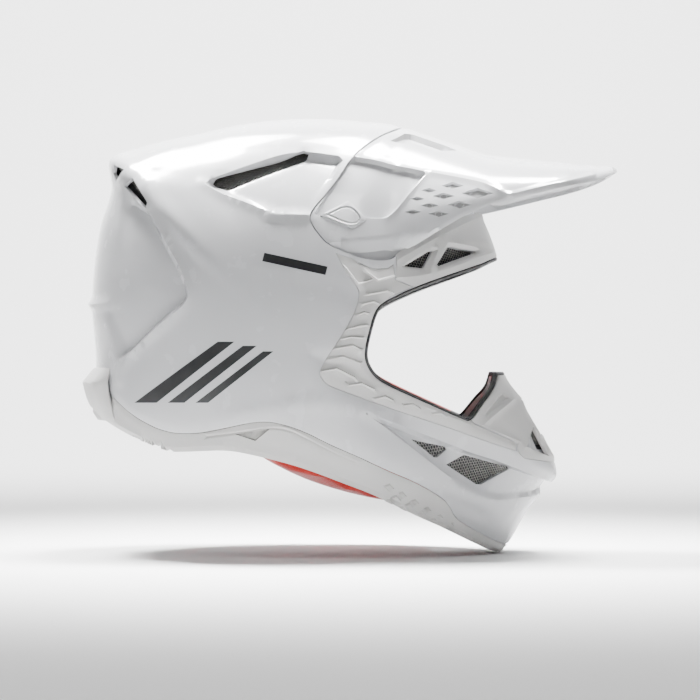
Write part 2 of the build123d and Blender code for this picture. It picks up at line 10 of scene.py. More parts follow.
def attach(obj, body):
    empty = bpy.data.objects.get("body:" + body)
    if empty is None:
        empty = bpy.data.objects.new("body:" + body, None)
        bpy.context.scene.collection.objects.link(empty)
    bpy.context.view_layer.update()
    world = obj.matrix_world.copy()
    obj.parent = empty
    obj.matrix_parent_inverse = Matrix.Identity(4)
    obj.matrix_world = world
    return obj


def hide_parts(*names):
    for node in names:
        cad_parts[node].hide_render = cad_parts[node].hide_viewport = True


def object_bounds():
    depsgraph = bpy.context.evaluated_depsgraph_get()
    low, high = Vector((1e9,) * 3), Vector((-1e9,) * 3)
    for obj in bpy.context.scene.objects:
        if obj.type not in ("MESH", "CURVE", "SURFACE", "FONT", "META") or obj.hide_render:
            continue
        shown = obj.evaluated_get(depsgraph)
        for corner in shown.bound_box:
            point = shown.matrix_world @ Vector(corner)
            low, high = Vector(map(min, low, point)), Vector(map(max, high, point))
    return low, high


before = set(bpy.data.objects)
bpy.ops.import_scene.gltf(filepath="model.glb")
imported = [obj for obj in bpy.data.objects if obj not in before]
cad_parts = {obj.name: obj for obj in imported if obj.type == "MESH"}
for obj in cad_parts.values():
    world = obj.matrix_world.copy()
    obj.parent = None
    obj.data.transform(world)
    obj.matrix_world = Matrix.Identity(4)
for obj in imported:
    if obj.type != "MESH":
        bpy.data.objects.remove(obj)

CAD_LOW, CAD_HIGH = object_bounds()
MM = 0.001               # the outlines below are in millimetres, the scene in metres
SIDES = {-1: "right", 1: "left"}

# ------------------------------------------------------------------ camera, lights and floor
CAMERA_X = 43.2          # distance forward at which the camera looks, millimetres
CAMERA_DISTANCE = 2400.0
LENS = 171.4
SENSOR = 36.0
FLOOR_GAP = 0.0005       # metres between the helmet's lowest point and the floor
SWEEP_WIDTH = 7.0        # metres to each side
SWEEP_START = 2.0        # metres behind the helmet at which the floor starts to curve up
SWEEP_RADIUS = 1.5
SWEEP_TOP = 7.0
PAPER = 0.93
AMBIENT = 0.04
LAMPS = [                # name, place, size, power, point aimed at, spread in degrees
    ("key", (0.35, 0.3, 1.7), 0.6, 11.0, (0.03, 0, 0), 34),
    ("front", (1.9, -1.0, 0.9), 0.7, 1.0, (0.03, 0, 0), 180),
    ("top", (-0.45, 0.5, 1.5), 0.6, 9.0, (0.03, 0, 0), 34),
    ("floor", (0.0, -2.1, 2.6), 1.2, 16.0, (0.0, -1.7, 0.0), 80),
    ("wash", (0.0, 1.4, 2.2), 2.6, 330.0, (0.0, 4.6, 0.6), 180),
]


def stage():
    """Camera from the wearer's right, pale sweep and soft lights."""
    scene = bpy.context.scene
    camera = bpy.data.objects.new("camera", bpy.data.cameras.new("camera"))
    scene.collection.objects.link(camera)
    camera.data.lens = LENS
    camera.data.sensor_width = SENSOR
    camera.data.clip_end = 50.0
    camera.location = (CAMERA_X * MM, -CAMERA_DISTANCE * MM, 0.0)
    camera.rotation_euler = (math.radians(90), 0, 0)
    scene.camera = camera
    floor_z = CAD_LOW.z - FLOOR_GAP
    profile = [(-6.0, 0.0), (SWEEP_START, 0.0)]
    for step in range(1, 9):
        turn = math.radians(90 * step / 8)
        rise = SWEEP_RADIUS - SWEEP_RADIUS * math.cos(turn)
        profile.append((SWEEP_START + SWEEP_RADIUS * math.sin(turn), rise))
    profile.append((SWEEP_START + SWEEP_RADIUS, SWEEP_TOP))
    verts = []
    for y, z in profile:
        verts += [(-SWEEP_WIDTH, y, floor_z + z), (SWEEP_WIDTH, y, floor_z + z)]
    faces = [(2 * i, 2 * i + 1, 2 * i + 3, 2 * i + 2) for i in range(len(profile) - 1)]
    mesh = bpy.data.meshes.new("sweep")
    mesh.from_pydata(verts, [], faces)
    mesh.shade_smooth()
    sweep = bpy.data.objects.new("sweep", mesh)
    scene.collection.objects.link(sweep)
    paper = bpy.data.materials.new("paper")
    paper.use_nodes = True
    finish = paper.node_tree.nodes["Principled BSDF"]
    finish.inputs["Base Color"].default_value = (PAPER, PAPER, PAPER, 1)
    finish.inputs["Roughness"].default_value = 0.9
    mesh.materials.append(paper)
    world = bpy.data.worlds.new("studio")
    scene.world = world
    world.use_nodes = True
    sky = world.node_tree.nodes["Background"]
    sky.inputs["Color"].default_value = (1, 1, 1, 1)
    sky.inputs["Strength"].default_value = AMBIENT
    for name, place, size, power, aim, spread in LAMPS:
        data = bpy.data.lights.new(name, "AREA")
        data.size = size
        data.energy = power
        data.spread = math.radians(spread)
        lamp = bpy.data.objects.new(name, data)
        scene.collection.objects.link(lamp)
        lamp.location = place
        lamp.rotation_euler = (Vector(aim) - Vector(place)).to_track_quat("-Z", "Y").to_euler()


stage()

# ------------------------------------------------------------------ form of the shell
HALF_WIDTH = 121.0
HUB_X = 10.0             # the outline is given by angles about this point, level with the middle
# Angle in degrees, reach of the outline, and fullness of the section: 2 is round, more is boxy.
FORM = np.array([
    (-60, 192, 2.2), (-46, 202.5, 1.8), (-36, 198, 1.62), (-30, 200, 1.55), (-26, 202.5, 1.5),
    (-20, 184, 1.55), (-14, 165, 1.65), (-7, 146, 1.8), (8, 146, 2.0), (25, 154, 2.1),
    (36, 159.5, 2.15), (50, 168, 2.2), (66, 174.5, 2.3), (76, 169.2, 2.3), (87, 166.3, 2.3),
    (97, 166.2, 2.3), (107, 168.6, 2.3), (116, 172.6, 2.3), (124, 181, 2.3), (130, 188.5, 2.3),
    (135.5, 195, 2.3), (140, 180, 2.3), (148, 171.3, 2.3), (158, 162, 2.3), (167, 156, 2.3),
    (180, 149.5, 2.3), (193, 152, 2.3), (206, 156, 2.35), (224, 160, 2.4), (245, 163, 2.4),
    (270, 167, 2.4), (288, 177, 2.35),
])


def form_at(angle):
    """Reach and fullness of the shell at angles about the hub, in degrees."""
    start = FORM[0, 0]
    count = len(FORM)
    turned = (np.asarray(angle, float) - start) % 360.0 + start
    index = np.clip(np.searchsorted(FORM[:, 0], turned, side="right") - 1, 0, count - 1)

    def knot(step):
        place = index + step
        row = FORM[place % count]
        return row[..., 0] + 360.0 * (place // count), row[..., 1:]

    (a0, p0), (a1, p1), (a2, p2), (a3, p3) = knot(-1), knot(0), knot(1), knot(2)
    span = (a2 - a1)[..., None]
    t = ((turned - a1) / (a2 - a1))[..., None]
    slope_1 = (p2 - p0) / (a2 - a0)[..., None] * span
    slope_2 = (p3 - p1) / (a3 - a1)[..., None] * span
    value = (2 * t**3 - 3 * t**2 + 1) * p1 + (3 * t**2 - 2 * t**3) * p2
    value = value + (t**3 - 2 * t**2 + t) * slope_1 + (t**3 - t**2) * slope_2
    return value[..., 0], value[..., 1]


def flank(x, z, inset=0.0):
    """Half width of the shell at a point of the side view."""
    dx = np.asarray(x, float) - HUB_X
    dz = np.asarray(z, float)
    reach, fullness = form_at(np.degrees(np.arctan2(dz, dx)))
    ratio = np.hypot(dx, dz) / (reach - inset)
    return (HALF_WIDTH - inset) * np.clip(1.0 - ratio**fullness, 0.0, 1.0) ** (1.0 / fullness)


class Flank:
    """The shell's side, unrolled into a disc whose rim is the middle plane."""

    @staticmethod
    def flat(x, z):
        """Place on the disc of a point of the side view."""
        dx = np.asarray(x, float) - HUB_X
        dz = np.asarray(z, float)
        angle = np.arctan2(dz, dx)
        reach, fullness = form_at(np.degrees(angle))
        ratio = np.clip(np.hypot(dx, dz) / reach, 0.0, 1.0)
        radius = reach * 2 / np.pi * np.arcsin(ratio ** (fullness / 2))
        return np.stack([radius * np.cos(angle), radius * np.sin(angle)], -1)

    @staticmethod
    def lift(flat):
        """Place on the shell of a point of the disc."""
        angle = np.arctan2(flat[:, 1], flat[:, 0])
        reach, fullness = form_at(np.degrees(angle))
        turn = np.hypot(flat[:, 0], flat[:, 1]) / reach * np.pi / 2
        ratio = np.abs(np.sin(turn)) ** (2 / fullness)
        half = np.sign(np.cos(turn)) * np.abs(np.cos(turn)) ** (2 / fullness)
        return np.stack([
            HUB_X + ratio * reach * np.cos(angle), -HALF_WIDTH * half, ratio * reach * np.sin(angle),
        ], -1)

    @staticmethod
    def edge(spacing):
        """The disc's rim, where the two sides of the shell meet."""
        angles = np.radians(np.arange(0, 360, math.degrees(spacing / 165)))
        reach, _ = form_at(np.degrees(angles))
        points = np.stack([reach * np.cos(angles), reach * np.sin(angles)], -1)
        return [(points, True)]

    half_width = staticmethod(flank)


# Visor: distance forward, height of the crest, height of the lower edge, half width.
VISOR_STATIONS = np.array([
    (10, 166.0, 60.0, 108.0), (50, 164.5, 61.0, 107.5), (70, 162.8, 64.0, 106.0),
    (88, 158.2, 72.0, 103.5), (104, 152.8, 82.0, 102.0), (120, 147.5, 91.5, 100.0),
    (140, 140.3, 100.8, 98.0), (160, 138.0, 105.3, 96.0), (185, 135.2, 111.2, 92.0),
    (195, 134.4, 113.4, 87.5), (205, 133.3, 115.7, 80.0), (214, 132.4, 118.0, 70.5),
    (221, 131.9, 120.2, 59.5), (227, 131.9, 122.5, 46.5), (231, 131.8, 124.6, 34.5),
    (234, 130.6, 126.6, 20.0), (235.5, 129.0, 128.4, 2.0),
])
BLEND_START = 62.0       # the visor follows the shell up to here, and is an arch of its own
BLEND_LENGTH = 24.0      # once it is this much further forward


class Bill:
    """The visor's right side, unrolled by distance forward and turn down from the crest."""

    LENGTH = 120.0

    @staticmethod
    def station(x):
        """Crest, lower edge and half width at a distance forward."""
        return [np.interp(x, VISOR_STATIONS[:, 0], VISOR_STATIONS[:, i]) for i in (1, 2, 3)]

    @classmethod
    def half_width(cls, x, z):
        crest, edge, half = cls.station(x)
        level = np.clip((z - edge) / (crest - edge), 0.0, 1.0)
        arch = half * np.sqrt(1 - level**2)
        share = np.clip((np.asarray(x, float) - BLEND_START) / BLEND_LENGTH, 0, 1)
        share = share * share * (3 - 2 * share)
        return arch * share + flank(x, z) * (1 - share)

    @classmethod
    def flat(cls, x, z):
        crest, edge, _ = cls.station(x)
        level = np.clip((z - edge) / (crest - edge), -0.2, 1.0)
        return np.stack([np.asarray(x, float), -np.arccos(level) * 2 / np.pi * cls.LENGTH], -1)

    @classmethod
    def lift(cls, flat):
        crest, edge, _ = cls.station(flat[:, 0])
        level = np.cos(-flat[:, 1] / cls.LENGTH * np.pi / 2)
        z = edge + (crest - edge) * level
        side = np.where(flat[:, 1] > 0, -1.0, 1.0)
        return np.stack([flat[:, 0], -side * cls.half_width(flat[:, 0], z), z], -1)

    @classmethod
    def edge(cls, spacing):
        """The crest, where the two sides of the visor meet."""
        xs = np.arange(10, 235.3, spacing)
        return [(np.stack([xs, np.zeros(len(xs))], -1), False)]


# ------------------------------------------------------------------ outlines and features
def seen(points, surface=Flank):
    """Side-view points as they look from the camera, moved to where they lie on the surface."""
    points = np.asarray(points, float)
    true = points.copy()
    for _ in range(5):
        scale = 1 - surface.half_width(true[:, 0], true[:, 1]) / CAMERA_DISTANCE
        true = np.stack([CAMERA_X + (points[:, 0] - CAMERA_X) * scale, points[:, 1] * scale], -1)
    return true


def distance(x, z, line, closed=False):
    """Distance to a polyline, and how far along it the nearest point is, from 0 to 1."""
    line = np.asarray(line, float)
    if closed:
        line = np.vstack([line, line[:1]])
    lengths = np.hypot(*(line[1:] - line[:-1]).T)
    total = lengths.sum()
    best = np.full(len(x), 1e9)
    along = np.zeros(len(x))
    done = 0.0
    for start, end, length in zip(line[:-1], line[1:], lengths):
        if length < 1e-9:
            continue
        t = ((x - start[0]) * (end[0] - start[0]) + (z - start[1]) * (end[1] - start[1])) / length**2
        t = np.clip(t, 0, 1)
        gap = np.hypot(x - start[0] - t * (end[0] - start[0]), z - start[1] - t * (end[1] - start[1]))
        nearer = gap < best
        best = np.where(nearer, gap, best)
        along = np.where(nearer, (done + t * length) / total, along)
        done += length
    return best, along


def inside(x, z, outline):
    """True for points within a closed outline."""
    outline = np.asarray(outline, float)
    crossings = np.zeros(len(x), bool)
    for (x0, z0), (x1, z1) in zip(outline, np.roll(outline, -1, axis=0)):
        if z0 == z1:
            continue
        straddles = (z0 > z) != (z1 > z)
        crossings ^= straddles & (x < (x1 - x0) * (z - z0) / (z1 - z0) + x0)
    return crossings


def grown(outline, amount):
    """Closed outline moved outwards by amount."""
    outline = np.asarray(outline, float)
    following = np.roll(outline, -1, axis=0)
    area = 0.5 * np.sum(outline[:, 0] * following[:, 1] - following[:, 0] * outline[:, 1])
    edge = following - outline
    normal = np.stack([edge[:, 1], -edge[:, 0]], -1) / np.maximum(np.hypot(*edge.T), 1e-9)[:, None]
    normal = normal * np.sign(area)
    before = np.roll(normal, 1, axis=0)
    middle = normal + before
    middle = middle / np.maximum((middle * normal).sum(1), 0.35)[:, None]
    return outline + middle * amount


def eased(line, closed=False, rounds=2):
    """The same line with its corners cut, so that it reads as a curve."""
    line = np.asarray(line, float)
    for _ in range(rounds):
        following = np.roll(line, -1, axis=0) if closed else line[1:]
        before = line if closed else line[:-1]
        cut = np.stack([0.75 * before + 0.25 * following, 0.25 * before + 0.75 * following], 1).reshape(-1, 2)
        line = cut if closed else np.vstack([line[:1], cut, line[-1:]])
    return line


class Ridge:
    """A raised or sunk line: height at the line, falling to nothing at its width."""

    def __init__(self, line, height, width, sharp=1.0, taper=(1.0, 1.0)):
        self.line = eased(line) if len(line) > 4 else line
        self.height, self.width, self.sharp, self.taper = height, width, sharp, taper

    def lines(self):
        if self.width > 2.5:
            return [(self.line, False)]
        line = np.asarray(self.line, float)
        way = np.gradient(line, axis=0)
        way = way / np.maximum(np.hypot(*way.T), 1e-9)[:, None]
        aside = np.stack([-way[:, 1], way[:, 0]], -1) * self.width
        return [(line, False), (line + aside, False), (line - aside, False)]

    def raise_by(self, x, z, y):
        gap, along = distance(x, z, self.line)
        size = self.taper[0] + (self.taper[1] - self.taper[0]) * along
        return self.height * size * np.clip(1 - gap / self.width, 0, 1) ** self.sharp


class Pocket:
    """A sunk outline with a sloping wall; it may fade with the distance from its deep line."""

    def __init__(self, outline, depth, wall=0.7, deep=None, reach=None):
        self.outline = eased(outline, True, 1) if len(outline) > 10 else outline
        self.depth, self.wall, self.deep, self.reach = depth, wall, deep, reach

    def lines(self):
        return [(self.outline, True), (grown(self.outline, -self.wall), True)]

    def raise_by(self, x, z, y):
        gap, _ = distance(x, z, self.outline, True)
        sunk = np.where(inside(x, z, self.outline), np.clip(gap / self.wall, 0, 1), 0.0)
        if self.deep is not None:
            away, _ = distance(x, z, self.deep)
            sunk = sunk * np.clip(1 - away / self.reach, 0, 1) ** 1.3
        return -self.depth * sunk


class Steps:
    """Flat-floored seats cut to stated depths; where they overlap the deeper one counts."""

    def __init__(self, seats, wall=0.5):
        self.seats, self.wall = seats, wall

    def lines(self):
        found = []
        for outline, _ in self.seats:
            found += [(outline, True), (grown(outline, -self.wall), True)]
        return found

    def raise_by(self, x, z, y):
        depth = np.zeros(len(x))
        for outline, deep in self.seats:
            gap, _ = distance(x, z, outline, True)
            cut = deep * np.clip(gap / self.wall, 0, 1)
            depth = np.maximum(depth, np.where(inside(x, z, outline), cut, 0))
        return -depth


class Bevel:
    """The surface turns in beyond a line, inside an outline, by a slope up to a limit."""

    def __init__(self, line, outline, slope, limit):
        self.line, self.outline, self.slope, self.limit = line, outline, slope, limit

    def lines(self):
        return [(self.line, False)]

    def raise_by(self, x, z, y):
        gap, _ = distance(x, z, self.line)
        return -np.where(inside(x, z, self.outline), np.minimum(gap * self.slope, self.limit), 0.0)


class Round:
    """A round-ended slot across the middle plane of the visor, along the crest."""

    def __init__(self, start, end, radius, depth, wall=0.6):
        self.start, self.end, self.radius, self.depth, self.wall = start, end, radius, depth, wall

    def loop(self, radius):
        turns = np.radians(np.arange(-90, 91, 10))
        front = np.stack([self.end + radius * np.cos(turns), radius * np.sin(turns)], -1)
        back = np.stack([self.start - radius * np.cos(turns), -radius * np.sin(turns)], -1)
        half = np.vstack([front, back])
        half = half[half[:, 1] >= -1e-9]
        half = half[np.argsort(-half[:, 0])]
        return np.stack([half[:, 0], crest_height(half[:, 0], half[:, 1])], -1)

    def lines(self):
        return [(self.loop(self.radius), False), (self.loop(self.radius - self.wall), False)]

    def raise_by(self, x, z, y):
        away = np.hypot(x - np.clip(x, self.start, self.end), y)
        return -self.depth * np.clip((self.radius - away) / self.wall, 0, 1)


def crest_height(x, y):
    """Height of the visor over a point of its plan."""
    crest, edge, half = Bill.station(x)
    return edge + (crest - edge) * np.sqrt(np.clip(1 - (np.asarray(y, float) / half) ** 2, 0, 1))


# ------------------------------------------------------------------ meshes laid on a surface
def resample(line, closed, spacing):
    """Points along a flat polyline, none further apart than spacing."""
    line = np.asarray(line, float)
    if closed:
        line = np.vstack([line, line[:1]])
    points = []
    for start, end in zip(line[:-1], line[1:]):
        steps = max(1, int(math.ceil(np.hypot(*(end - start)) / spacing)))
        for step in range(steps):
            points.append(start + (end - start) * step / steps)
    if not closed:
        points.append(line[-1])
    return np.array(points)


def lay(surface, spacing, lines, keep):
    """Triangles over a surface's flat form, with edges along lines, kept where keep says so."""
    points, edges = [], []
    prepared = [(surface.flat(*resample(line, closed, spacing).T), closed) for line, closed in lines]
    prepared += surface.edge(spacing)
    for line, closed in prepared:
        start = len(points)
        points += [tuple(p) for p in line]
        edges += [(start + i, start + i + 1) for i in range(len(line) - 1)]
        if closed:
            edges.append((start + len(line) - 1, start))
    tree = kdtree.KDTree(len(points))
    for index, point in enumerate(points):
        tree.insert((point[0], point[1], 0), index)
    tree.balance()
    cloud = np.array(points)
    low, high = cloud.min(0), cloud.max(0)
    row = spacing * math.sqrt(3) / 2
    for j in range(int((high[1] - low[1]) / row) + 1):
        for i in range(int((high[0] - low[0]) / spacing) + 1):
            p = (low[0] + (i + 0.5 * (j % 2)) * spacing, low[1] + j * row)
            if tree.find((p[0], p[1], 0))[2] > 0.62 * spacing:
                points.append(p)
    verts, _, faces, *_ = delaunay_2d_cdt([Vector(p) for p in points], edges, [], 0, 1e-5)
    flat = np.array([(v.x, v.y) for v in verts])
    faces = np.array([f for f in faces if len(f) == 3])
    middle = surface.lift(flat[faces].mean(1))
    faces = faces[keep(middle[:, 0], middle[:, 2], middle[:, 1]) & (middle[:, 1] < 0)]
    used, faces = np.unique(faces, return_inverse=True)
    return flat[used], faces.reshape(-1, 3)


def normals(surface, flat):
    """Outward normals of a surface at flat points."""
    step = 0.05
    across = surface.lift(flat + (step, 0)) - surface.lift(flat - (step, 0))
    up = surface.lift(flat + (0, step)) - surface.lift(flat - (0, step))
    normal = np.cross(across, up)
    place = surface.lift(flat)
    outward = place - np.array([min(HUB_X, 60), 0, 0]) if surface is Flank else place - np.array([0, 0, 60])
    if surface is Bill:
        outward[:, 0] = 0
    normal *= np.sign((normal * outward).sum(1))[:, None]
    return normal / np.maximum(np.linalg.norm(normal, axis=1), 1e-12)[:, None]


def rim_edges(faces):
    """Directed edges that only one face uses."""
    edges = np.concatenate([faces[:, [0, 1]], faces[:, [1, 2]], faces[:, [2, 0]]])
    keys = np.sort(edges, axis=1)
    _, index, counts = np.unique(keys, axis=0, return_index=True, return_counts=True)
    return edges[index[counts == 1]]


def add_mesh(name, verts, faces, material, body, smooth_angle=38.0):
    """An object from millimetre vertices, riding on a body."""
    mesh = bpy.data.meshes.new(name)
    mesh.from_pydata((np.asarray(verts) * MM).tolist(), [], [list(map(int, f)) for f in faces])
    mesh.update()
    mesh.shade_smooth()
    mesh.set_sharp_from_angle(angle=math.radians(smooth_angle))
    piece = bpy.data.objects.new(name, mesh)
    bpy.context.scene.collection.objects.link(piece)
    mesh.materials.append(material)
    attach(piece, body)
    return piece


def stand_in(name, node, form, material, smooth_angle, body="helmet"):
    """A piece that is shown in place of one of the frame's nodes."""
    piece = add_mesh(name, *form, material, body, smooth_angle)
    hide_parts(node)
    return piece


def tint(piece, material, where):
    """Gives some faces of a piece a second material, by their middle in millimetres."""
    piece.data.materials.append(material)
    slot = len(piece.data.materials) - 1
    for face in piece.data.polygons:
        if where(np.array(face.center) / MM):
            face.material_index = slot


def skin(surface, spacing, features, lines, keep, thickness, base=0.0, soft=0.5, sides=(-1, 1)):
    """Vertices and faces of a skin: outer surface with its features, inner surface and edges."""
    all_lines = list(lines)
    for feature in features:
        all_lines += feature.lines()
    flat, faces = lay(surface, spacing, all_lines, keep)
    place = surface.lift(flat)
    normal = normals(surface, flat)
    rise = np.full(len(flat), float(base))
    for feature in features:
        rise += feature.raise_by(place[:, 0], place[:, 2], np.abs(place[:, 1]))
    middle = np.abs(place[:, 1]) < 1e-4
    normal[middle, 1] = 0
    normal /= np.linalg.norm(normal, axis=1)[:, None]
    outer = place + normal * rise[:, None]
    turned = np.cross(outer[faces[:, 1]] - outer[faces[:, 0]], outer[faces[:, 2]] - outer[faces[:, 0]])
    wrong = (turned * normal[faces[:, 0]]).sum(1) < 0
    faces[wrong] = faces[wrong][:, ::-1]
    edge = rim_edges(faces)
    if len(sides) == 2:
        edge = edge[~(middle[edge[:, 0]] & middle[edge[:, 1]])]
    lip = np.unique(edge)
    outer[lip] -= normal[lip] * soft
    if callable(thickness):
        thickness = thickness(place[:, 0])
    inner = place + normal * (rise - thickness)[:, None]
    verts, quads = [], []
    count = 0
    for side in sides:
        mirror = np.array([1.0, -side, 1.0])
        both = np.vstack([outer, inner]) * mirror
        n = len(outer)
        body_faces = np.vstack([faces, faces[:, ::-1] + n])
        walls = np.stack([edge[:, 1], edge[:, 0], edge[:, 0] + n, edge[:, 1] + n], -1)
        if side > 0:
            body_faces = body_faces[:, ::-1]
            walls = walls[:, ::-1]
        verts.append(both)
        quads += [tuple(f + count) for f in body_faces] + [tuple(w + count) for w in walls]
        count += len(both)
    verts = np.vstack(verts)
    if len(sides) == 2:
        verts, quads = weld(verts, quads)
    return verts, quads


def weld(verts, faces):
    """Joins the two sides where they meet on the middle plane."""
    near = np.abs(verts[:, 1]) < 1e-3
    verts[near, 1] = 0
    target = np.arange(len(verts))
    places = {}
    for index in np.nonzero(near)[0]:
        key = tuple(np.round(verts[index], 3))
        target[index] = places.setdefault(key, index)
    used, compact = np.unique(target, return_inverse=True)
    faces = [tuple(compact[list(f)]) for f in faces]
    return verts[used], [f for f in faces if len(set(f)) == len(f)]


CELL_PITCH = 1.6
WIRE = 0.6


def honeycomb(name, outline, inset, sides, widest=None):
    """A screen of six-sided cells inside an outline, set in from the shell's surface."""
    edge = Flank.flat(*resample(outline, True, 2.0).T)
    low, high = edge.min(0), edge.max(0)
    verts, faces, index = [], [], {}
    row = CELL_PITCH * math.sqrt(3) / 2
    for j in range(int((high[1] - low[1]) / row) + 2):
        for i in range(int((high[0] - low[0]) / CELL_PITCH) + 2):
            centre = np.array([low[0] + (i + 0.5 * (j % 2)) * CELL_PITCH, low[1] + j * row])
            place = Flank.lift(centre[None])[0]
            if not inside(place[:1], place[2:3], outline)[0] or (widest and abs(place[1]) >= widest):
                continue
            cell = []
            for k in range(6):
                turn = math.radians(60 * k + 30)
                corner = centre + CELL_PITCH / math.sqrt(3) * np.array([math.cos(turn), math.sin(turn)])
                key = tuple(np.round(corner, 2))
                if key not in index:
                    index[key] = len(verts)
                    verts.append(corner)
                cell.append(index[key])
            faces.append(cell)
    flat = np.array(verts)
    place = Flank.lift(flat) - normals(Flank, flat) * inset
    jobs = [(f"{name}_{SIDES[side]}", place * (1, -side, 1), faces) for side in sides]
    if not sides:
        both = np.vstack([place, place * (1, -1, 1)])
        jobs = [(name, both, faces + [[i + len(place) for i in cell] for cell in faces])]
    for node, points, cells in jobs:
        piece = stand_in(f"{node}_wires", node, (points, cells), SCREEN, 38)
        weave = piece.modifiers.new("wires", "WIREFRAME")
        weave.thickness = WIRE * MM
        weave.use_even_offset = False


# ------------------------------------------------------------------ materials
def shader(name, colour, rough, metal=0.0, coat=0.0, sheen=0.0, spec=0.5):
    """A new material and its main shader."""
    made = bpy.data.materials.new(name)
    made.use_nodes = True
    main = made.node_tree.nodes["Principled BSDF"]
    main.inputs["Base Color"].default_value = (*colour, 1)
    main.inputs["Roughness"].default_value = rough
    main.inputs["Metallic"].default_value = metal
    main.inputs["Coat Weight"].default_value = coat
    main.inputs["Coat Roughness"].default_value = 0.06
    main.inputs["Sheen Weight"].default_value = sheen
    main.inputs["Specular IOR Level"].default_value = spec
    return made, made.node_tree, main


def textured(tree, kind, scale, **inputs):
    """A texture node in the piece's own coordinates, in metres."""
    coordinates = tree.nodes.new("ShaderNodeTexCoord")
    node = tree.nodes.new(kind)
    tree.links.new(coordinates.outputs["Object"], node.inputs["Vector"])
    node.inputs["Scale"].default_value = scale
    for key, value in inputs.items():
        node.inputs[key].default_value = value
    return node


def bump(tree, main, height, strength, depth_mm):
    """Adds a height to the shader's normal, on top of any bump it has already."""
    node = tree.nodes.new("ShaderNodeBump")
    node.inputs["Strength"].default_value = strength
    node.inputs["Distance"].default_value = depth_mm * MM
    tree.links.new(height, node.inputs["Height"])
    if main.inputs["Normal"].links:
        tree.links.new(main.inputs["Normal"].links[0].from_socket, node.inputs["Normal"])
    tree.links.new(node.outputs["Normal"], main.inputs["Normal"])


def blotch(tree, main, factor, low, high, socket="Base Color"):
    """Drives a socket of the shader between two values by a texture."""
    ramp = tree.nodes.new("ShaderNodeValToRGB")
    ramp.color_ramp.elements[0].position = 0.3
    ramp.color_ramp.elements[1].position = 0.7
    ramp.color_ramp.elements[0].color = (*low, 1)
    ramp.color_ramp.elements[1].color = (*high, 1)
    tree.links.new(factor, ramp.inputs["Fac"])
    tree.links.new(ramp.outputs["Color"], main.inputs[socket])


def make_gloss_white():
    """White lacquer with faint smears and orange peel."""
    made, tree, main = shader("gloss_white", (0.56, 0.565, 0.58), 0.22, coat=0.7)
    tone = textured(tree, "ShaderNodeTexNoise", 14.0, Detail=3.0)
    blotch(tree, main, tone.outputs["Fac"], (0.545, 0.55, 0.565), (0.58, 0.585, 0.598))
    smear = textured(tree, "ShaderNodeTexNoise", 60.0, Detail=5.0)
    blotch(tree, main, smear.outputs["Fac"], (0.2, 0.2, 0.2), (0.29, 0.29, 0.29), "Roughness")
    peel = textured(tree, "ShaderNodeTexNoise", 420.0, Detail=2.0)
    bump(tree, main, peel.outputs["Fac"], 0.12, 0.05)
    return made


def make_trim(name, colour, rough):
    """Moulded plastic with a fine grain."""
    made, tree, main = shader(name, colour, rough)
    tone = textured(tree, "ShaderNodeTexNoise", 30.0, Detail=4.0)
    low = tuple(c * 0.95 for c in colour)
    blotch(tree, main, tone.outputs["Fac"], low, colour)
    grain = textured(tree, "ShaderNodeTexVoronoi", 1100.0)
    bump(tree, main, grain.outputs["Distance"], 0.35, 0.08)
    fine = textured(tree, "ShaderNodeTexNoise", 2600.0, Detail=3.0)
    bump(tree, main, fine.outputs["Fac"], 0.25, 0.04)
    return made


def make_rubber():
    """Dusty black rubber."""
    made, tree, main = shader("rubber", (0.018, 0.018, 0.019), 0.62)
    dust = textured(tree, "ShaderNodeTexNoise", 120.0, Detail=6.0)
    blotch(tree, main, dust.outputs["Fac"], (0.014, 0.014, 0.015), (0.03, 0.03, 0.03))
    bump(tree, main, dust.outputs["Fac"], 0.3, 0.1)
    return made


def make_screen():
    """Worn dark wire."""
    made, tree, main = shader("screen", (0.10, 0.098, 0.095), 0.42)
    wear = textured(tree, "ShaderNodeTexNoise", 300.0, Detail=4.0)
    blotch(tree, main, wear.outputs["Fac"], (0.12, 0.118, 0.112), (0.24, 0.235, 0.22))
    bump(tree, main, wear.outputs["Fac"], 0.2, 0.03)
    return made


def make_beads():
    """Moulded foam, with the beads it is made of."""
    made, tree, main = shader("foam_beads", (0.03, 0.03, 0.032), 0.8)
    cells = textured(tree, "ShaderNodeTexVoronoi", 330.0)
    blotch(tree, main, cells.outputs["Distance"], (0.038, 0.038, 0.04), (0.018, 0.018, 0.019))
    bump(tree, main, cells.outputs["Distance"], 0.6, 0.5)
    return made


def make_fabric(name, dark, light, scale=900.0):
    """Knitted cloth: crossed waves for the loops and a soft fuzz."""
    made, tree, main = shader(name, light, 0.88, sheen=0.35, spec=0.25)
    fuzz = textured(tree, "ShaderNodeTexNoise", 900.0, Detail=6.0)
    blotch(tree, main, fuzz.outputs["Fac"], dark, light)
    loops = textured(tree, "ShaderNodeTexVoronoi", scale)
    bump(tree, main, loops.outputs["Distance"], 0.7, 0.35)
    bump(tree, main, fuzz.outputs["Fac"], 0.4, 0.2)
    return made


def make_webbing():
    """Woven strap: bands along and across it."""
    made, tree, main = shader("webbing", (0.02, 0.02, 0.021), 0.75, sheen=0.2)
    weft = textured(tree, "ShaderNodeTexWave", 260.0, Distortion=0.6)
    weft.wave_type = "BANDS"
    weft.bands_direction = "Y"
    warp = textured(tree, "ShaderNodeTexWave", 220.0, Distortion=0.4)
    warp.wave_type = "BANDS"
    warp.bands_direction = "X"
    blotch(tree, main, weft.outputs["Fac"], (0.012, 0.012, 0.012), (0.035, 0.035, 0.036))
    bump(tree, main, weft.outputs["Fac"], 0.7, 0.25)
    bump(tree, main, warp.outputs["Fac"], 0.5, 0.2)
    return made


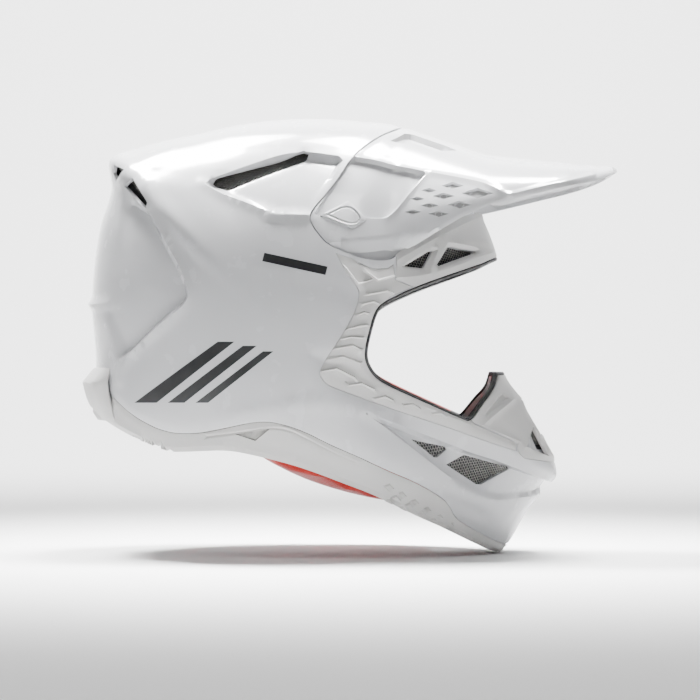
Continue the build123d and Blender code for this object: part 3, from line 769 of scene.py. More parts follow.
def make_decal():
    """Printed black under lacquer."""
    made, tree, main = shader("decal_ink", (0.012, 0.012, 0.013), 0.3, coat=0.5)
    tone = textured(tree, "ShaderNodeTexNoise", 90.0, Detail=4.0)
    blotch(tree, main, tone.outputs["Fac"], (0.010, 0.010, 0.011), (0.018, 0.018, 0.02))
    bump(tree, main, tone.outputs["Fac"], 0.1, 0.03)
    return made


def make_metal():
    """Scuffed plated steel."""
    made, tree, main = shader("plated_steel", (0.62, 0.62, 0.63), 0.26, metal=1.0)
    scuff = textured(tree, "ShaderNodeTexNoise", 500.0, Detail=8.0)
    blotch(tree, main, scuff.outputs["Fac"], (0.2, 0.2, 0.2), (0.42, 0.42, 0.42), "Roughness")
    bump(tree, main, scuff.outputs["Fac"], 0.15, 0.03)
    return made


GLOSS = make_gloss_white()
TRIM = make_trim("trim_white", (0.56, 0.555, 0.545), 0.44)
# grey that is painted shade, laid on the floors of the visor's lozenge pockets
POCKET_SHADE_GREY = make_trim("pocket_shade_grey", (0.36, 0.36, 0.36), 0.52)
SAND = make_trim("sand_plastic", (0.40, 0.36, 0.27), 0.55)
RUBBER = make_rubber()
SCREEN = make_screen()
BEADS = make_beads()
BLACK_PLASTIC = make_trim("black_plastic", (0.025, 0.025, 0.026), 0.4)
RED_CLOTH = make_fabric("pad_cloth", (0.22, 0.008, 0.006), (0.42, 0.018, 0.012))
DARK_CLOTH = make_fabric("liner_cloth", (0.012, 0.012, 0.013), (0.03, 0.03, 0.032))
WEBBING = make_webbing()
METAL = make_metal()
THREAD = make_fabric("thread", (0.03, 0.03, 0.032), (0.06, 0.06, 0.062), 2500.0)
DECAL = make_decal()

# ------------------------------------------------------------------ outlines in the side view
PORT = np.array([
    (149, 67), (136, 61), (118, 54.5), (98, 47.5), (78.5, 39.5), (64, 32), (59.5, 25), (56, 12.5),
    (53, -1), (54, -9.5), (59, -18), (67, -23.5), (83, -31), (103, -40), (122, -48.5), (128, -50.5),
    (137, -38), (146, -27), (149.5, -18), (205, -18), (205, 67),
])
TRIM_SEAM = np.array([
    (33.5, 66.5), (40, 54), (48, 44), (50, 36.5), (45, 22), (35.5, 6.7), (27, -5.7), (22.5, -14.3),
    (22.5, -18), (27, -24), (40, -29), (59, -36), (78.5, -43), (98, -49.5), (117, -56), (137, -63.5),
    (161, -71.5),
])
TRIM_INNER = np.array([
    (161, -65.5), (130, -51.5), (128, -48), (100, -30), (60, 0), (70, 36), (87, 43.5), (79, 46.5),
    (74.5, 48.5), (73.5, 59), (69, 56.2), (59, 56), (49.5, 60), (45, 63),
])
BROW = np.array([
    (75, 48.5), (79.5, 46.8), (88, 43.6), (120, 40), (170, 40), (170, 75), (137.5, 99), (118, 92),
    (100, 82), (86, 74), (75.5, 66),
])
MOUTHPIECE = np.array([
    (130, -51), (161, -65), (163, -73), (167, -76.5), (187, -80), (215, -84), (215, -10), (140, -10),
    (120, -40),
])
VISOR_SEAM = np.array([
    (84, 170), (83, 160), (74.5, 155.5), (64.5, 150.3), (54.5, 143), (45, 134.5), (35.5, 118.5),
    (25.5, 105.5), (18, 97), (15.7, 91), (17, 87), (21, 81), (27.7, 73), (40, 68), (50, 64),
    (59, 62.5), (65, 62), (71, 63), (74, 65),
])
RIM_SEAM = np.array([
    (-133, -23.7), (-121, -35.7), (-105, -48), (-85, -57), (-65, -58), (-46, -54.5), (-22, -49),
    (-7.5, -49.5), (11.5, -55.5), (30.5, -65.5), (49.5, -73.5), (69, -83), (88, -91), (107.5, -102.5),
    (113.5, -109.5), (117, -117.5), (128, -125), (148.5, -137), (158, -140),
])
RIM_EDGE = np.array([
    (-133, -49), (-111, -60), (-90, -69), (-80.5, -71), (-61, -70), (-41, -69), (-22, -72.7),
    (2, -78.5), (21, -85), (40, -92.5), (59.5, -100), (74, -107.5), (93, -117), (108, -124),
    (128, -135), (149, -146),
])
CHIN_VENT_SMALL = np.array([(88, -61.8), (103.5, -74.8), (106, -74.8), (113.2, -70), (112, -68.2)])
CHIN_VENT_LARGE = np.array([(112, -80), (125.5, -74.5), (158, -84.5), (159, -86), (137, -95), (133, -94.5)])
TOP_VENT = np.array([(-53, 117.5), (-49.5, 121), (11, 139.5), (15, 138.0), (13, 135.5), (-42, 112.5)])
REAR_VENT_HIGH = np.array([(-124, 131), (-115.5, 127), (-123, 119), (-125, 125.5)])
REAR_VENT_LOW = np.array([(-109, 120.5), (-115.5, 114.5), (-99.5, 98), (-98, 102.5)])
BROW_VENT_REAR = np.array([(81, 58), (100, 69.5), (102, 69), (95, 56.7)])
BROW_VENT_FRONT = np.array([
    (104.5, 59.5), (112.5, 72.5), (115.5, 72.5), (132.5, 70), (132.5, 68.7), (105.5, 58.5),
])
MOUTH_VENT_SIDE = np.array([(173, -55), (168, -69), (185, -76)])
SIDE_CAP = np.array([(22.7, 92.7), (42.5, 103.1), (55, 89.9), (44.4, 83.2)])
VENTS = [
    CHIN_VENT_SMALL, CHIN_VENT_LARGE, TOP_VENT, REAR_VENT_HIGH, REAR_VENT_LOW, BROW_VENT_REAR,
    BROW_VENT_FRONT,
]
CAP_FRONT = np.array([(86, 74), (100, 82), (118, 92), (137.5, 99), (160, 105), (160, 175)])
FRONT_OPENING = (11.0, -61.0, -35.0)   # half width, bottom and top of the mouthpiece's opening

# The long seams are curves; the blunt ends of the port's outline lie beyond the shell.
PORT = np.vstack([PORT[:1], eased(PORT[1:19]), PORT[19:]])
TRIM_SEAM = np.vstack([TRIM_SEAM[:1], eased(TRIM_SEAM[1:])])
VISOR_SEAM = np.vstack([VISOR_SEAM[:2], eased(VISOR_SEAM[2:])])
RIM_SEAM = eased(RIM_SEAM)
RIM_EDGE = eased(RIM_EDGE)


def below(line, depth=-260.0):
    """Side-view region under a line that runs from back to front."""
    return np.vstack([[(-200, line[0][1])], line, [(240, line[-1][1]), (240, depth), (-200, depth)]])


# ------------------------------------------------------------------ outer shell
SHELL_THICKNESS = 3.0
TRIM_THICKNESS = 2.3
SEAT_DEPTH = 2.6         # of the seats that the trims lie in
VISOR_SEAT_DEPTH = 3.6
SEAM_GAP = 0.4           # between a trim and its neighbours
VISOR_GAP = 0.8
REAR_RIDGE = [
    (-99, 98), (-97, 93), (-87.5, 75), (-79, 60), (-75, 50), (-72.7, 42), (-73, 37), (-77, 31), (-90, 21),
    (-100, 12), (-110, 2), (-119, -6),
]
SHELL_FEATURES = [
    Steps([
        (np.vstack([TRIM_SEAM, TRIM_INNER]), SEAT_DEPTH), (grown(BROW, SEAM_GAP), SEAT_DEPTH),
        (grown(MOUTHPIECE, SEAM_GAP), SEAT_DEPTH),
        (grown(np.vstack([VISOR_SEAM, CAP_FRONT]), VISOR_GAP), VISOR_SEAT_DEPTH),
    ]),
    # long scoop on the upper side, deepest along its upper wall
    Pocket(
        seen([
            (-64, 120.5), (-50, 126), (-35, 131.5), (-20, 136.5), (-10, 139.8), (0, 142), (12, 143),
            (20, 142), (40, 139.5), (33, 128), (24, 112), (14, 97.5), (0, 97.5), (-12, 98), (-25, 103.5),
            (-40, 109), (-50, 112.5),
        ]),
        5.2, 3.6,
        seen([(-62, 120), (-50, 124.5), (-35, 130), (-10, 138), (12, 141), (40, 138)]), 46,
    ),
    # lower lip of the scoop, crease of the crown and crease above the rear ridge
    Ridge(
        seen([(-64, 120.5), (-50, 112.5), (-40, 109), (-25, 103.5), (-12, 98), (0, 97.5), (14, 97)]), 0.9, 5,
    ),
    Ridge(
        seen([
            (-115, 131), (-100, 138), (-88, 143), (-75, 146), (-60, 149.5), (-50, 152.5), (-25, 155),
            (15, 155.5), (50, 153.5),
        ]),
        1.0, 11,
    ),
    Ridge(seen([(-105, 120), (-85, 118), (-65, 115)]), 0.9, 9, taper=(1, 0.3)),
    # scoop behind the rear ridge
    Pocket(
        seen(REAR_RIDGE + [
            (-124, -6), (-127, 7), (-131, 20), (-135, 29), (-129.5, 35), (-129, 50), (-127, 70), (-125, 85),
            (-122, 105), (-116, 111),
        ]),
        5.0, 4.0,
        seen([(-98, 96), (-96, 92), (-86, 74), (-78, 59), (-72, 42), (-76, 31), (-100, 12), (-119, -6)]), 52,
    ),
    Ridge(seen(REAR_RIDGE + [(-123, -15), (-123, -22)]), 1.5, 5.5),
    Ridge(np.array([(-112, 33), (-128, 32.5), (-152, 32.5)]), 4.2, 5.0, taper=(0.0, 1.0)),
    # recess above the chin, deepest along its upper edge
    Pocket(
        seen([
            (50, -43), (60, -47), (70, -51), (80, -54.5), (90, -58.5), (100, -62), (110, -66), (120, -70),
            (130, -74), (150, -80), (170, -88), (185, -94), (192, -97), (184, -104), (160, -107),
            (145, -107), (135, -103), (125, -98), (110, -88), (95, -76), (82, -66), (66, -54),
        ]),
        5.2, 2.4,
        seen([(52, -43.5), (80, -55), (110, -66.5), (130, -75), (150, -81), (192, -96)]), 34,
    ),
    Ridge(
        seen([
            (-50, -50), (-25, -46), (0, -40.5), (10, -38.5), (25, -37.5), (40, -38), (50, -41), (60, -45.5),
            (75, -53),
        ]),
        1.5, 7.5, taper=(0.5, 1.1),
    ),
    Ridge(seen([(115, -109), (128, -114.5), (140, -120)]), -1.1, 4),
    Ridge(seen([(8, 46), (28, 43), (49, 39)]), -0.9, 9),
    Ridge(seen([(-14, 96.5), (4, 96.5), (16, 96)]), 1.0, 3.5),
    Ridge(seen([(-142, -30), (-138, -39)]), -0.6, 2),
]


def on_shell(x, z, y):
    """Where the outer shell has material."""
    keep = ~inside(x, z, PORT) & ~inside(x, z, below(RIM_SEAM))
    for vent in VENTS:
        keep &= ~inside(x, z, vent)
    width, low, high = FRONT_OPENING
    return keep & ~((np.abs(y) < 2 * width) & (z > low - 9) & (z < high + 9) & (x > 120))


def across(width, heights, sign=1):
    """Side-view points where the shell is a given half width, at given heights."""
    found = []
    for z in heights:
        x = HUB_X + sign * 150.0      # a start near the shell's front or rear; the steps close in on it
        for _ in range(25):
            reach, fullness = form_at(math.degrees(math.atan2(z, x - HUB_X)))
            ratio = (1 - (width / HALF_WIDTH) ** float(fullness)) ** (1 / float(fullness))
            x = 0.5 * x + 0.5 * (HUB_X + sign * math.sqrt(max((ratio * float(reach)) ** 2 - z * z, 1.0)))
        found.append((x, z))
    return np.array(found)


def box_lines(width, low, high, sign=1):
    """Edges of an opening that is square to the middle plane, as side-view lines."""
    side = across(width, np.linspace(low, high, 9), sign)
    floor = across(0.05, [low], sign)[0]
    roof = across(0.05, [high], sign)[0]
    return [(np.vstack([[floor], side, [roof]]), False)]


def build_shell():
    """The white shell, with its openings and the seats of the trims and visor."""
    width, low, high = FRONT_OPENING
    lines = [(PORT, True), (RIM_SEAM, False)] + [(vent, True) for vent in VENTS]
    lines += box_lines(2 * width, low - 9, high + 9)
    form = skin(Flank, 2.6, SHELL_FEATURES, lines, on_shell, SHELL_THICKNESS)
    stand_in("shell", "outer_shell", form, GLOSS, 38)


# ------------------------------------------------------------------ trims round the port
TRIM_RIBS = [
    ([(41, 15), (50, 17.5), (55, 18)], 1.1), ([(33, 1.5), (45, 3.5), (51, 0.5)], 1.1),
    ([(23, -15.5), (33, -13.5), (46, -20)], 1.2), ([(42, -25.5), (51, -24), (60, -28.5)], 1.0),
    ([(61, -35), (68, -33.5), (74, -36.5)], 0.8), ([(39, 60), (49, 47.5), (57, 50)], 1.1),
    ([(56, 40), (70, 42.5), (74, 40.5)], 1.0), ([(55, 56), (63, 50), (74, 53)], 1.1),
    ([(37, 8), (44, 9.5), (52, 9)], 0.9), ([(28, -6), (38, -4.5), (50, -9)], 1.0),
    ([(48, 25), (53, 27), (57, 26)], 0.9), ([(52, 33), (60, 35), (64, 33)], 0.9),
    ([(82, -40), (88, -39), (93, -42)], 0.6), ([(102, -46), (108, -45.5), (112, -48)], 0.45),
]
TRIM_FEATURES = [Ridge(seen(line), 0.5 * height, 4.2) for line, height in TRIM_RIBS]
TRIM_FEATURES += [Ridge(seen(line), 1.5 * height, 1.0) for line, height in TRIM_RIBS]
TRIM_FEATURES += [
    Ridge(
        seen([(57, 30), (53, 22), (52, 8), (49, -4), (51, -15), (60, -24), (90, -38), (130, -54)]), 0.5, 2.4,
    ),
]


def build_trim():
    """Ribbed trims behind the port, one on each side."""
    outline = grown(np.vstack([TRIM_SEAM, TRIM_INNER]), -0.3)
    brow, mouth = grown(BROW, SEAM_GAP), grown(MOUTHPIECE, SEAM_GAP)

    def keep(x, z, y):
        taken = inside(x, z, PORT) | inside(x, z, brow) | inside(x, z, mouth)
        return inside(x, z, outline) & ~taken & (y < -4)

    lines = [(outline, True), (PORT, True), (brow, True), (mouth, True)]
    for side in (-1, 1):
        form = skin(Flank, 1.9, TRIM_FEATURES, lines, keep, TRIM_THICKNESS, soft=0.45, sides=(side,))
        name = f"eyeport_trim_{SIDES[side]}"
        stand_in(f"{name}_skin", name, form, TRIM, 24)


BROW_FEATURES = [
    Ridge(seen([(76, 64), (90, 72), (100, 78), (108, 82), (122, 89), (138, 96)]), 0.9, 3.2),
    Ridge(seen([(103, 60), (104.5, 66), (106, 74)]), 0.9, 2.6),
    Ridge(seen([(110, 78), (125, 78.5), (143, 77)]), 0.8, 4),
    Ridge(seen([(77, 52), (92, 53), (112, 57.5), (134, 66.5), (146, 70)]), 0.8, 2.6),
    Pocket(grown(BROW_VENT_REAR, 2.2), 1.2, 1.6), Pocket(grown(BROW_VENT_FRONT, 2.2), 1.2, 1.6),
]


def build_brow():
    """Frame over the port, with two vents on each side."""

    def keep(x, z, y):
        open_here = inside(x, z, BROW_VENT_REAR) | inside(x, z, BROW_VENT_FRONT)
        return inside(x, z, BROW) & ~inside(x, z, PORT) & ~open_here

    lines = [(BROW, True), (PORT, True), (BROW_VENT_REAR, True), (BROW_VENT_FRONT, True)]
    form = skin(Flank, 2.0, BROW_FEATURES, lines, keep, TRIM_THICKNESS, soft=0.45)
    stand_in("brow_frame", "brow_vent_frame", form, TRIM, 24)


MOUTH_FEATURES = [
    Ridge(seen([(141.5, -46), (146.5, -39.5), (152, -33)]), -1.4, 1.3),
    Pocket(seen([(153.5, -30), (158, -34.5), (141.5, -46.5)]), 1.3, 0.8),
    Ridge(seen([(138, -54.5), (149, -45), (160.5, -35.5)]), 1.2, 3.4),
    Ridge(seen([(133, -53), (149, -59.5), (165, -66)]), 0.8, 2.4),
    Ridge(seen([(167, -37), (168, -46), (173, -54), (178, -62), (189, -77)]), 0.9, 3.4),
    Ridge(seen([(175, -54.5), (169.5, -70), (188, -77), (175, -54.5)]), 1.0, 1.9),
    Ridge(seen([(147, -51), (156, -56), (166, -64)]), -0.5, 3),
]


def build_mouthpiece():
    """Raised vent in front of the mouth."""
    width, low, high = FRONT_OPENING

    def keep(x, z, y):
        front = (np.abs(y) < width) & (z > low) & (z < high) & (x > 120)
        return inside(x, z, MOUTHPIECE) & ~inside(x, z, PORT) & ~inside(x, z, MOUTH_VENT_SIDE) & ~front

    lines = [(MOUTHPIECE, True), (PORT, True), (MOUTH_VENT_SIDE, True)] + box_lines(width, low, high)
    form = skin(Flank, 2.0, MOUTH_FEATURES, lines, keep, TRIM_THICKNESS, base=0.15, soft=0.45)
    stand_in("mouth_vent", "mouthpiece", form, TRIM, 24)


def build_seal():
    """Rubber edge of the port, deep at the sides and thin over the chin, red on its inner side."""
    outer, inner = grown(PORT, -0.15), grown(PORT, -2.5)

    def keep(x, z, y):
        return inside(x, z, outer) & ~inside(x, z, inner)

    def depth(x):
        return np.interp(x, [100, 132], [8.5, 2.6])

    def is_red(p):
        return (flank(p[0], p[2]) - abs(p[1]) > 3.2) & (p[2] < 14) & (p[0] < 118)

    lips = [Ridge(grown(PORT, -1.2), 0.7, 1.3, 0.6)]
    lines = [(outer, True), (inner, True)]
    form = skin(Flank, 1.2, lips, lines, keep, depth, base=-1.0, soft=0.5)
    tint(stand_in("port_seal", "eyeport_edge_seal", form, RUBBER, 50), RED_CLOTH, is_red)


# ------------------------------------------------------------------ lower rim and rear cover
def lozenges():
    """Small raised lozenges in slanting rows over the front of the rim."""
    found = []
    for row in range(4):
        for column in range(6):
            x = 70 + column * 9.0 + 4.5 * (row % 2)
            z = -94.5 - (x - 70) * 0.60 - row * 5.2
            size = 1.0 - 0.09 * column
            if x < 117:
                outline = np.array([
                    (x - 4.2 * size, z + 0.9), (x + 0.4, z + 2.5 * size), (x + 4.2 * size, z - 1.4),
                    (x, z - 2.7 * size),
                ])
                found.append(Pocket(outline, -1.7 * size, 0.8))
    return found


RIM_SCREEN = seen([(-40, -60.5), (-14, -56.5), (-25, -65.5)])
RIM_GROOVE = seen([
    (-60, -62.5), (-40, -60), (-20, -57), (-10, -56), (0, -58), (10, -63), (20, -68), (30, -73.5), (40, -78),
    (50, -82),
])
RIM_FEATURES = [
    Ridge(RIM_GROOVE, -1.1, 1.4, taper=(1, 0.3)),
    Ridge(RIM_EDGE + (0, 4.0), 0.8, 3.6),
    Pocket(RIM_SCREEN, 1.3, 0.5),
] + lozenges()


def build_rim():
    """Trim round the lower edge, flat where the helmet rests."""
    top = RIM_SEAM + (0, -0.5)
    zone = np.vstack([top, [(175, -140), (175, -152)], RIM_EDGE[::-1]])

    def rest_height(x):
        return -144.6 + math.tan(math.radians(18.1)) * (149 - x)

    def keep(x, z, y):
        return inside(x, z, zone) & (z > rest_height(x))

    def is_screen(p):
        near = -42 < p[0] < -12 and p[2] < -54
        return near and inside(p[:1], p[2:3], RIM_SCREEN)[0]

    rest = np.array([(x, rest_height(x)) for x in np.linspace(120, 175, 12)])
    lines = [(top, False), (RIM_EDGE, False), (rest, False)]
    form = skin(Flank, 2.2, RIM_FEATURES, lines, keep, 7.0, soft=0.7)
    tint(stand_in("rim_trim", "lower_rim_trim", form, TRIM, 26), SCREEN, is_screen)


class Swell:
    """Height by level and distance from the middle, for the cover at the back."""

    def lines(self):
        return [(seen([(-142, -30), (-134.5, -47)]), False)]

    def raise_by(self, x, z, y):
        level = np.interp(z, [-50, -44, -34, -22.5, -17, -12], [2.0, 4.5, 7.5, 9.8, 5.0, 0.8])
        return level * np.clip((62 - y) / 9.0, 0.15, 1.0) ** 0.7


COVER_LOW = -49.5
COVER_HIGH = -12.5
COVER_HALF = 60.0


def build_rear_cover():
    """Cover of the exhaust vent at the back of the neck."""
    side = across(COVER_HALF, np.linspace(COVER_LOW, COVER_HIGH, 14), -1)
    low, high = across(0.05, [COVER_LOW, COVER_HIGH], -1)
    loop = np.vstack([[low], side, [high]])

    def keep(x, z, y):
        return (np.abs(y) < COVER_HALF) & (z > COVER_LOW) & (z < COVER_HIGH) & (x < 0)

    slit = Ridge(seen([(-142, -30), (-138.5, -38.5), (-134.5, -47)]), -1.8, 1.6)
    form = skin(Flank, 1.8, [Swell(), slit], [(loop, False)], keep, 1.5, base=0.1, soft=0.4)
    stand_in("exhaust_cover", "rear_exhaust_cover", form, TRIM, 26)


# ------------------------------------------------------------------ visor
def diamond(x, z, half_width, half_height):
    """Lozenge about a point of the side view."""
    return np.array([(x - half_width, z), (x, z + half_height), (x + half_width, z), (x, z - half_height)])


def visor_edge(start, end, count=24):
    """Lower edge of the visor in the side view."""
    xs = np.linspace(start, end, count)
    return np.stack([xs, Bill.station(xs)[1] + 0.02], -1)


WING_CREASE = seen([(30, 77.5), (40, 78), (60, 80), (75, 82), (100, 84)], Bill)
WING_EDGE = seen([(112, 90), (100, 79), (80, 69), (74, 62), (60, 58), (24, 66)], Bill)
DIAMONDS = [             # middle, half width and half height of each
    (100, 115, 5.3, 1.8), (117, 118.5, 8, 2.6), (135, 113, 11.5, 3.8), (91.5, 109, 5.5, 1.5),
    (110.5, 111, 8, 2.3), (100.5, 104.2, 6.5, 2), (122, 104.8, 8.5, 2.8), (88.5, 99.5, 6, 1.8),
    (107, 98.3, 7.5, 2.3),
]
VISOR_FEATURES = [
    # side scoop under the crown panel, in front of which the wing stands proud
    Pocket(
        seen([
            (16, 96), (22, 106), (30, 117), (40, 132), (45, 139), (50, 138), (62, 136), (75, 132.5),
            (85, 130.5), (97, 128), (97.5, 126), (91, 118.5), (85, 111.5), (80, 105), (75, 99.5),
            (70, 95.5), (66, 94.5), (40, 95.5),
        ], Bill),
        2.6, 1.2,
    ),
    Ridge(
        seen([
            (45, 139), (50, 138), (62, 136), (75, 132.5), (85, 130.5), (97, 128), (115, 125), (135, 121),
            (142, 119), (150, 115.5), (157, 111.5),
        ], Bill),
        1.1, 3.0,
    ),
    Ridge(seen([(97.5, 125), (91, 118), (85, 111), (80, 104.5), (75, 99), (70, 95.2)], Bill), 0.8, 2.2),
    Bevel(WING_CREASE, np.vstack([WING_CREASE, WING_EDGE]), 0.45, 6.0),
    Ridge(seen([(157, 112), (165, 113.5), (185, 118.5), (200, 121.5), (218, 125.5)], Bill), 1.0, 2.6),
    Ridge(seen([(82, 155), (110, 147), (140, 137), (170, 132.5), (215, 129)], Bill), 0.8, 6.0),
    Ridge(seen([(148, 137.3), (170, 133.8)], Bill), -1.2, 1.2),
    Pocket(seen([(200, 134), (210, 133), (220, 130.7), (210, 130.9)], Bill), 1.3, 0.6),
    Pocket(
        seen([
            (72, 150.5), (82, 155), (87, 155), (100, 150.5), (110, 147), (120, 143), (104, 143), (90, 147),
            (82, 148.5),
        ], Bill),
        3.6, 1.0,
    ),
    Round(89.0, 97.5, 8.2, 3.0),
] + [Pocket(seen(diamond(*d), Bill), 1.9, 0.7) for d in DIAMONDS]
SLOT_FLOOR = seen([(82, 148.8), (86, 149.8), (103, 143.9), (92, 146.6)], Bill)


VISOR_TIP = 235.3


def build_visor():
    """The visor's skin, from the seam on the shell to the tip."""
    lower = visor_edge(74.5, VISOR_TIP, 70)
    outline = np.vstack([VISOR_SEAM, lower, [(VISOR_TIP, 131), (VISOR_TIP, 180), (84, 180)]])
    seam = VISOR_SEAM[1:]

    def keep(x, z, y):
        return inside(x, z, outline)

    crest_end = np.array([(83.4, Bill.station(83.4)[0] - 0.01), (83, 160)])
    lines = [(np.vstack([crest_end, seam[1:]]), False), (lower, False)]
    form = skin(Bill, 2.3, VISOR_FEATURES, lines, keep, 2.0, soft=0.5)
    stand_in("visor_shell", "visor", form, GLOSS, 26, "visor")


PRINT_RISE = 0.12        # of thin sheets laid on a surface
PRINT_SOFT = 0.02


def build_visor_floors():
    """Grey sheets on the floors of the lozenge pockets, which are painted shade in the recesses, and the
    sand-coloured insert of the slot on top.
    """
    # the grey sheets on the lozenge pocket floors are painted shade, not a grey part
    shaded_floors = [grown(seen(diamond(*d), Bill), -0.75) for d in DIAMONDS]
    jobs = [("visor_pocket_shade_floors", shaded_floors, POCKET_SHADE_GREY), ("visor_slot_insert", [SLOT_FLOOR], SAND)]
    for name, loops, material in jobs:
        def keep(x, z, y):
            return np.any([inside(x, z, loop) for loop in loops], axis=0)

        lines = [(loop, True) for loop in loops]
        form = skin(Bill, 2.3, VISOR_FEATURES, lines, keep, 0.2, base=PRINT_RISE, soft=PRINT_SOFT)
        add_mesh(name, *form, material, "visor", 60)


def build_caps():
    """Caps over the visor's side screws, with a groove inside their edge."""
    def keep(x, z, y):
        return inside(x, z, SIDE_CAP)

    inner = grown(SIDE_CAP, -2.2)
    channel = [Ridge(np.vstack([inner, inner[:1]]), -0.7, 1.0)]
    lines = [(SIDE_CAP, True)]
    for side in (-1, 1):
        form = skin(Flank, 1.5, channel, lines, keep, 3.2, base=0.9, soft=0.5, sides=(side,))
        name = f"visor_side_cap_{SIDES[side]}"
        stand_in(f"{name}_skin", name, form, GLOSS, 24, "visor")


# ------------------------------------------------------------------ screens in the vents
SCREEN_INSET = 5.7


def build_screens():
    """Wire screens behind the vents."""
    chin = np.array([(86, -58), (116, -66), (164, -80), (164, -92), (133, -99), (98, -82)])
    mouth = np.array([(120, -26), (172, -26), (200, -60), (200, -76), (150, -76), (120, -50)])
    brow = np.array([(80, 56), (96, 55), (137, 66.5), (137, 73.5), (104, 76.5), (90, 68)])
    rear = np.array([(-128, 134), (-112, 129), (-92, 102), (-97, 93), (-120, 110)])
    honeycomb("mouthpiece_mesh", mouth, SCREEN_INSET, (), widest=27)
    honeycomb("chin_vent_mesh", chin, SCREEN_INSET, (-1, 1))
    honeycomb("top_vent_mesh", grown(TOP_VENT, 3.0), 5.9, (-1, 1))
    honeycomb("brow_vent_mesh", brow, SCREEN_INSET, (-1, 1))
    honeycomb("rear_vent_mesh", rear, SCREEN_INSET, (-1, 1))


# ------------------------------------------------------------------ plain marks on the flank
STRIPES = [
    [(-112, -38), (-96, -38), (-40, 6), (-52, 6)],
    [(-88, -38), (-76, -38), (-24, 3), (-34, 3)],
    [(-68, -38), (-59, -38), (-12, -1), (-19.5, -1)],
    [(-20, 64), (-18.5, 70), (27, 60), (25.5, 54)],
]


def build_stripes():
    """Thin printed marks on both sides."""
    for number, outline in enumerate(STRIPES, 1):
        loop = seen(outline)

        def keep(x, z, y):
            return inside(x, z, loop)

        lines = [(loop, True)]
        for side in (-1, 1):
            form = skin(
                Flank, 2.6, SHELL_FEATURES, lines, keep, 0.1, base=PRINT_RISE, soft=PRINT_SOFT, sides=(side,),
            )
            add_mesh(f"stripe_{number}_{SIDES[side]}", *form, DECAL, "helmet")


# ------------------------------------------------------------------ padded liners
def positions(mesh):
    """Vertex positions of a mesh, one row each."""
    found = np.empty(len(mesh.vertices) * 3)
    mesh.vertices.foreach_get("co", found)
    return found.reshape(-1, 3)


def vertex_normals(mesh):
    """Vertex normals of a mesh, one row each."""
    found = np.empty(len(mesh.vertices) * 3)
    mesh.vertices.foreach_get("normal", found)
    return found.reshape(-1, 3)


def place(mesh, points):
    """Moves the vertices of a mesh to points."""
    mesh.vertices.foreach_set("co", points.ravel())
    mesh.update()


CLOTH_PRESSURE = 4.0
CLOTH_FRAMES = 20
CUSHION_CAP = 5.0        # how far a point of a cushion may swell, millimetres


def swell(piece, cap):
    """Blows up a closed cloth, no point moving further than cap."""
    begun = positions(piece.data)
    cloth = piece.modifiers.new("cloth", "CLOTH")
    cloth.settings.use_pressure = True
    cloth.settings.uniform_pressure_force = CLOTH_PRESSURE
    cloth.settings.effector_weights.gravity = 0.0
    for number in range(1, CLOTH_FRAMES + 1):
        bpy.context.scene.frame_set(number)
    shaped = piece.evaluated_get(bpy.context.evaluated_depsgraph_get())
    swollen = positions(shaped.data)
    piece.modifiers.remove(cloth)
    bpy.context.scene.frame_set(1)
    move = swollen - begun
    length = np.linalg.norm(move, axis=1, keepdims=True)
    place(piece.data, begun + move * np.minimum(1.0, cap * MM / np.maximum(length, 1e-9)))


def cushion(node_name, material, voxel, shrink, sew):
    """Swells a soft part by cloth simulation, then sews its channels into it."""
    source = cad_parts[node_name]
    mesh = source.data.copy()
    piece = bpy.data.objects.new(f"{node_name}_cover", mesh)
    bpy.context.scene.collection.objects.link(piece)
    piece.matrix_world = source.matrix_world.copy()
    mesh.transform(piece.matrix_world)
    piece.matrix_world.identity()
    work = bmesh.new()
    work.from_mesh(mesh)
    bmesh.ops.remove_doubles(work, verts=work.verts, dist=1e-5)
    work.to_mesh(mesh)
    work.free()
    bpy.context.view_layer.objects.active = piece
    remesh = piece.modifiers.new("remesh", "REMESH")
    remesh.mode = "VOXEL"
    remesh.voxel_size = voxel * MM
    bpy.ops.object.modifier_apply(modifier="remesh")
    place(mesh, positions(mesh) - vertex_normals(mesh) * shrink * MM)
    swell(piece, CUSHION_CAP)
    smooth = piece.modifiers.new("smooth", "SUBSURF")
    smooth.levels = 1
    smooth.render_levels = 1
    bpy.ops.object.modifier_apply(modifier="smooth")
    now = positions(mesh)
    place(mesh, now - vertex_normals(mesh) * sew(now / MM)[:, None] * MM)
    mesh.shade_smooth()
    mesh.materials.clear()
    mesh.materials.append(material)
    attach(piece, "helmet")
    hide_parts(node_name)


def groove(gap, width, depth):
    """Depth of a sewn channel at a distance from its seam."""
    return depth * np.clip(1 - gap / width, 0, 1) ** 1.5


def sew_crown(p):
    """Channels from front to back over the crown, crossed by two bands."""
    depth = np.zeros(len(p))
    for y in (-54, -18, 18, 54):
        gap = np.abs(p[:, 1] - y - 0.06 * y * p[:, 0] / 100)
        depth = np.maximum(depth, groove(gap, 6.0, 2.6))
    for x in (-62, 48):
        depth = np.maximum(depth, groove(np.abs(p[:, 0] - x + 0.2 * np.abs(p[:, 1])), 6.0, 2.4))
    return depth


def sew_neck(p):
    """Upright channels round the neck, and one along it."""
    depth = np.zeros(len(p))
    for y in (-60, -30, 0, 30, 60):
        depth = np.maximum(depth, groove(np.abs(p[:, 1] - y), 6.0, 2.2))
    return np.maximum(depth, groove(np.abs(p[:, 2] + 34), 5.0, 2.0))


CHEEK_EDGE = np.array([
    (-18, -22), (38, -22), (49, -36), (92, -56), (102, -64), (102, -90), (73, -98), (40, -90), (2, -77),
    (-16, -66),
])


def sew_cheek(p):
    """A seam round the face of the cheek pad and two channels across it."""
    gap, _ = distance(p[:, 0], p[:, 2], CHEEK_EDGE, True)
    depth = groove(gap, 4.5, 2.4)
    for line in ([(6, -22), (10, -79)], [(46, -34), (44, -90)]):
        gap, _ = distance(p[:, 0], p[:, 2], line)
        depth = np.maximum(depth, groove(gap, 4.5, 1.8))
    return depth


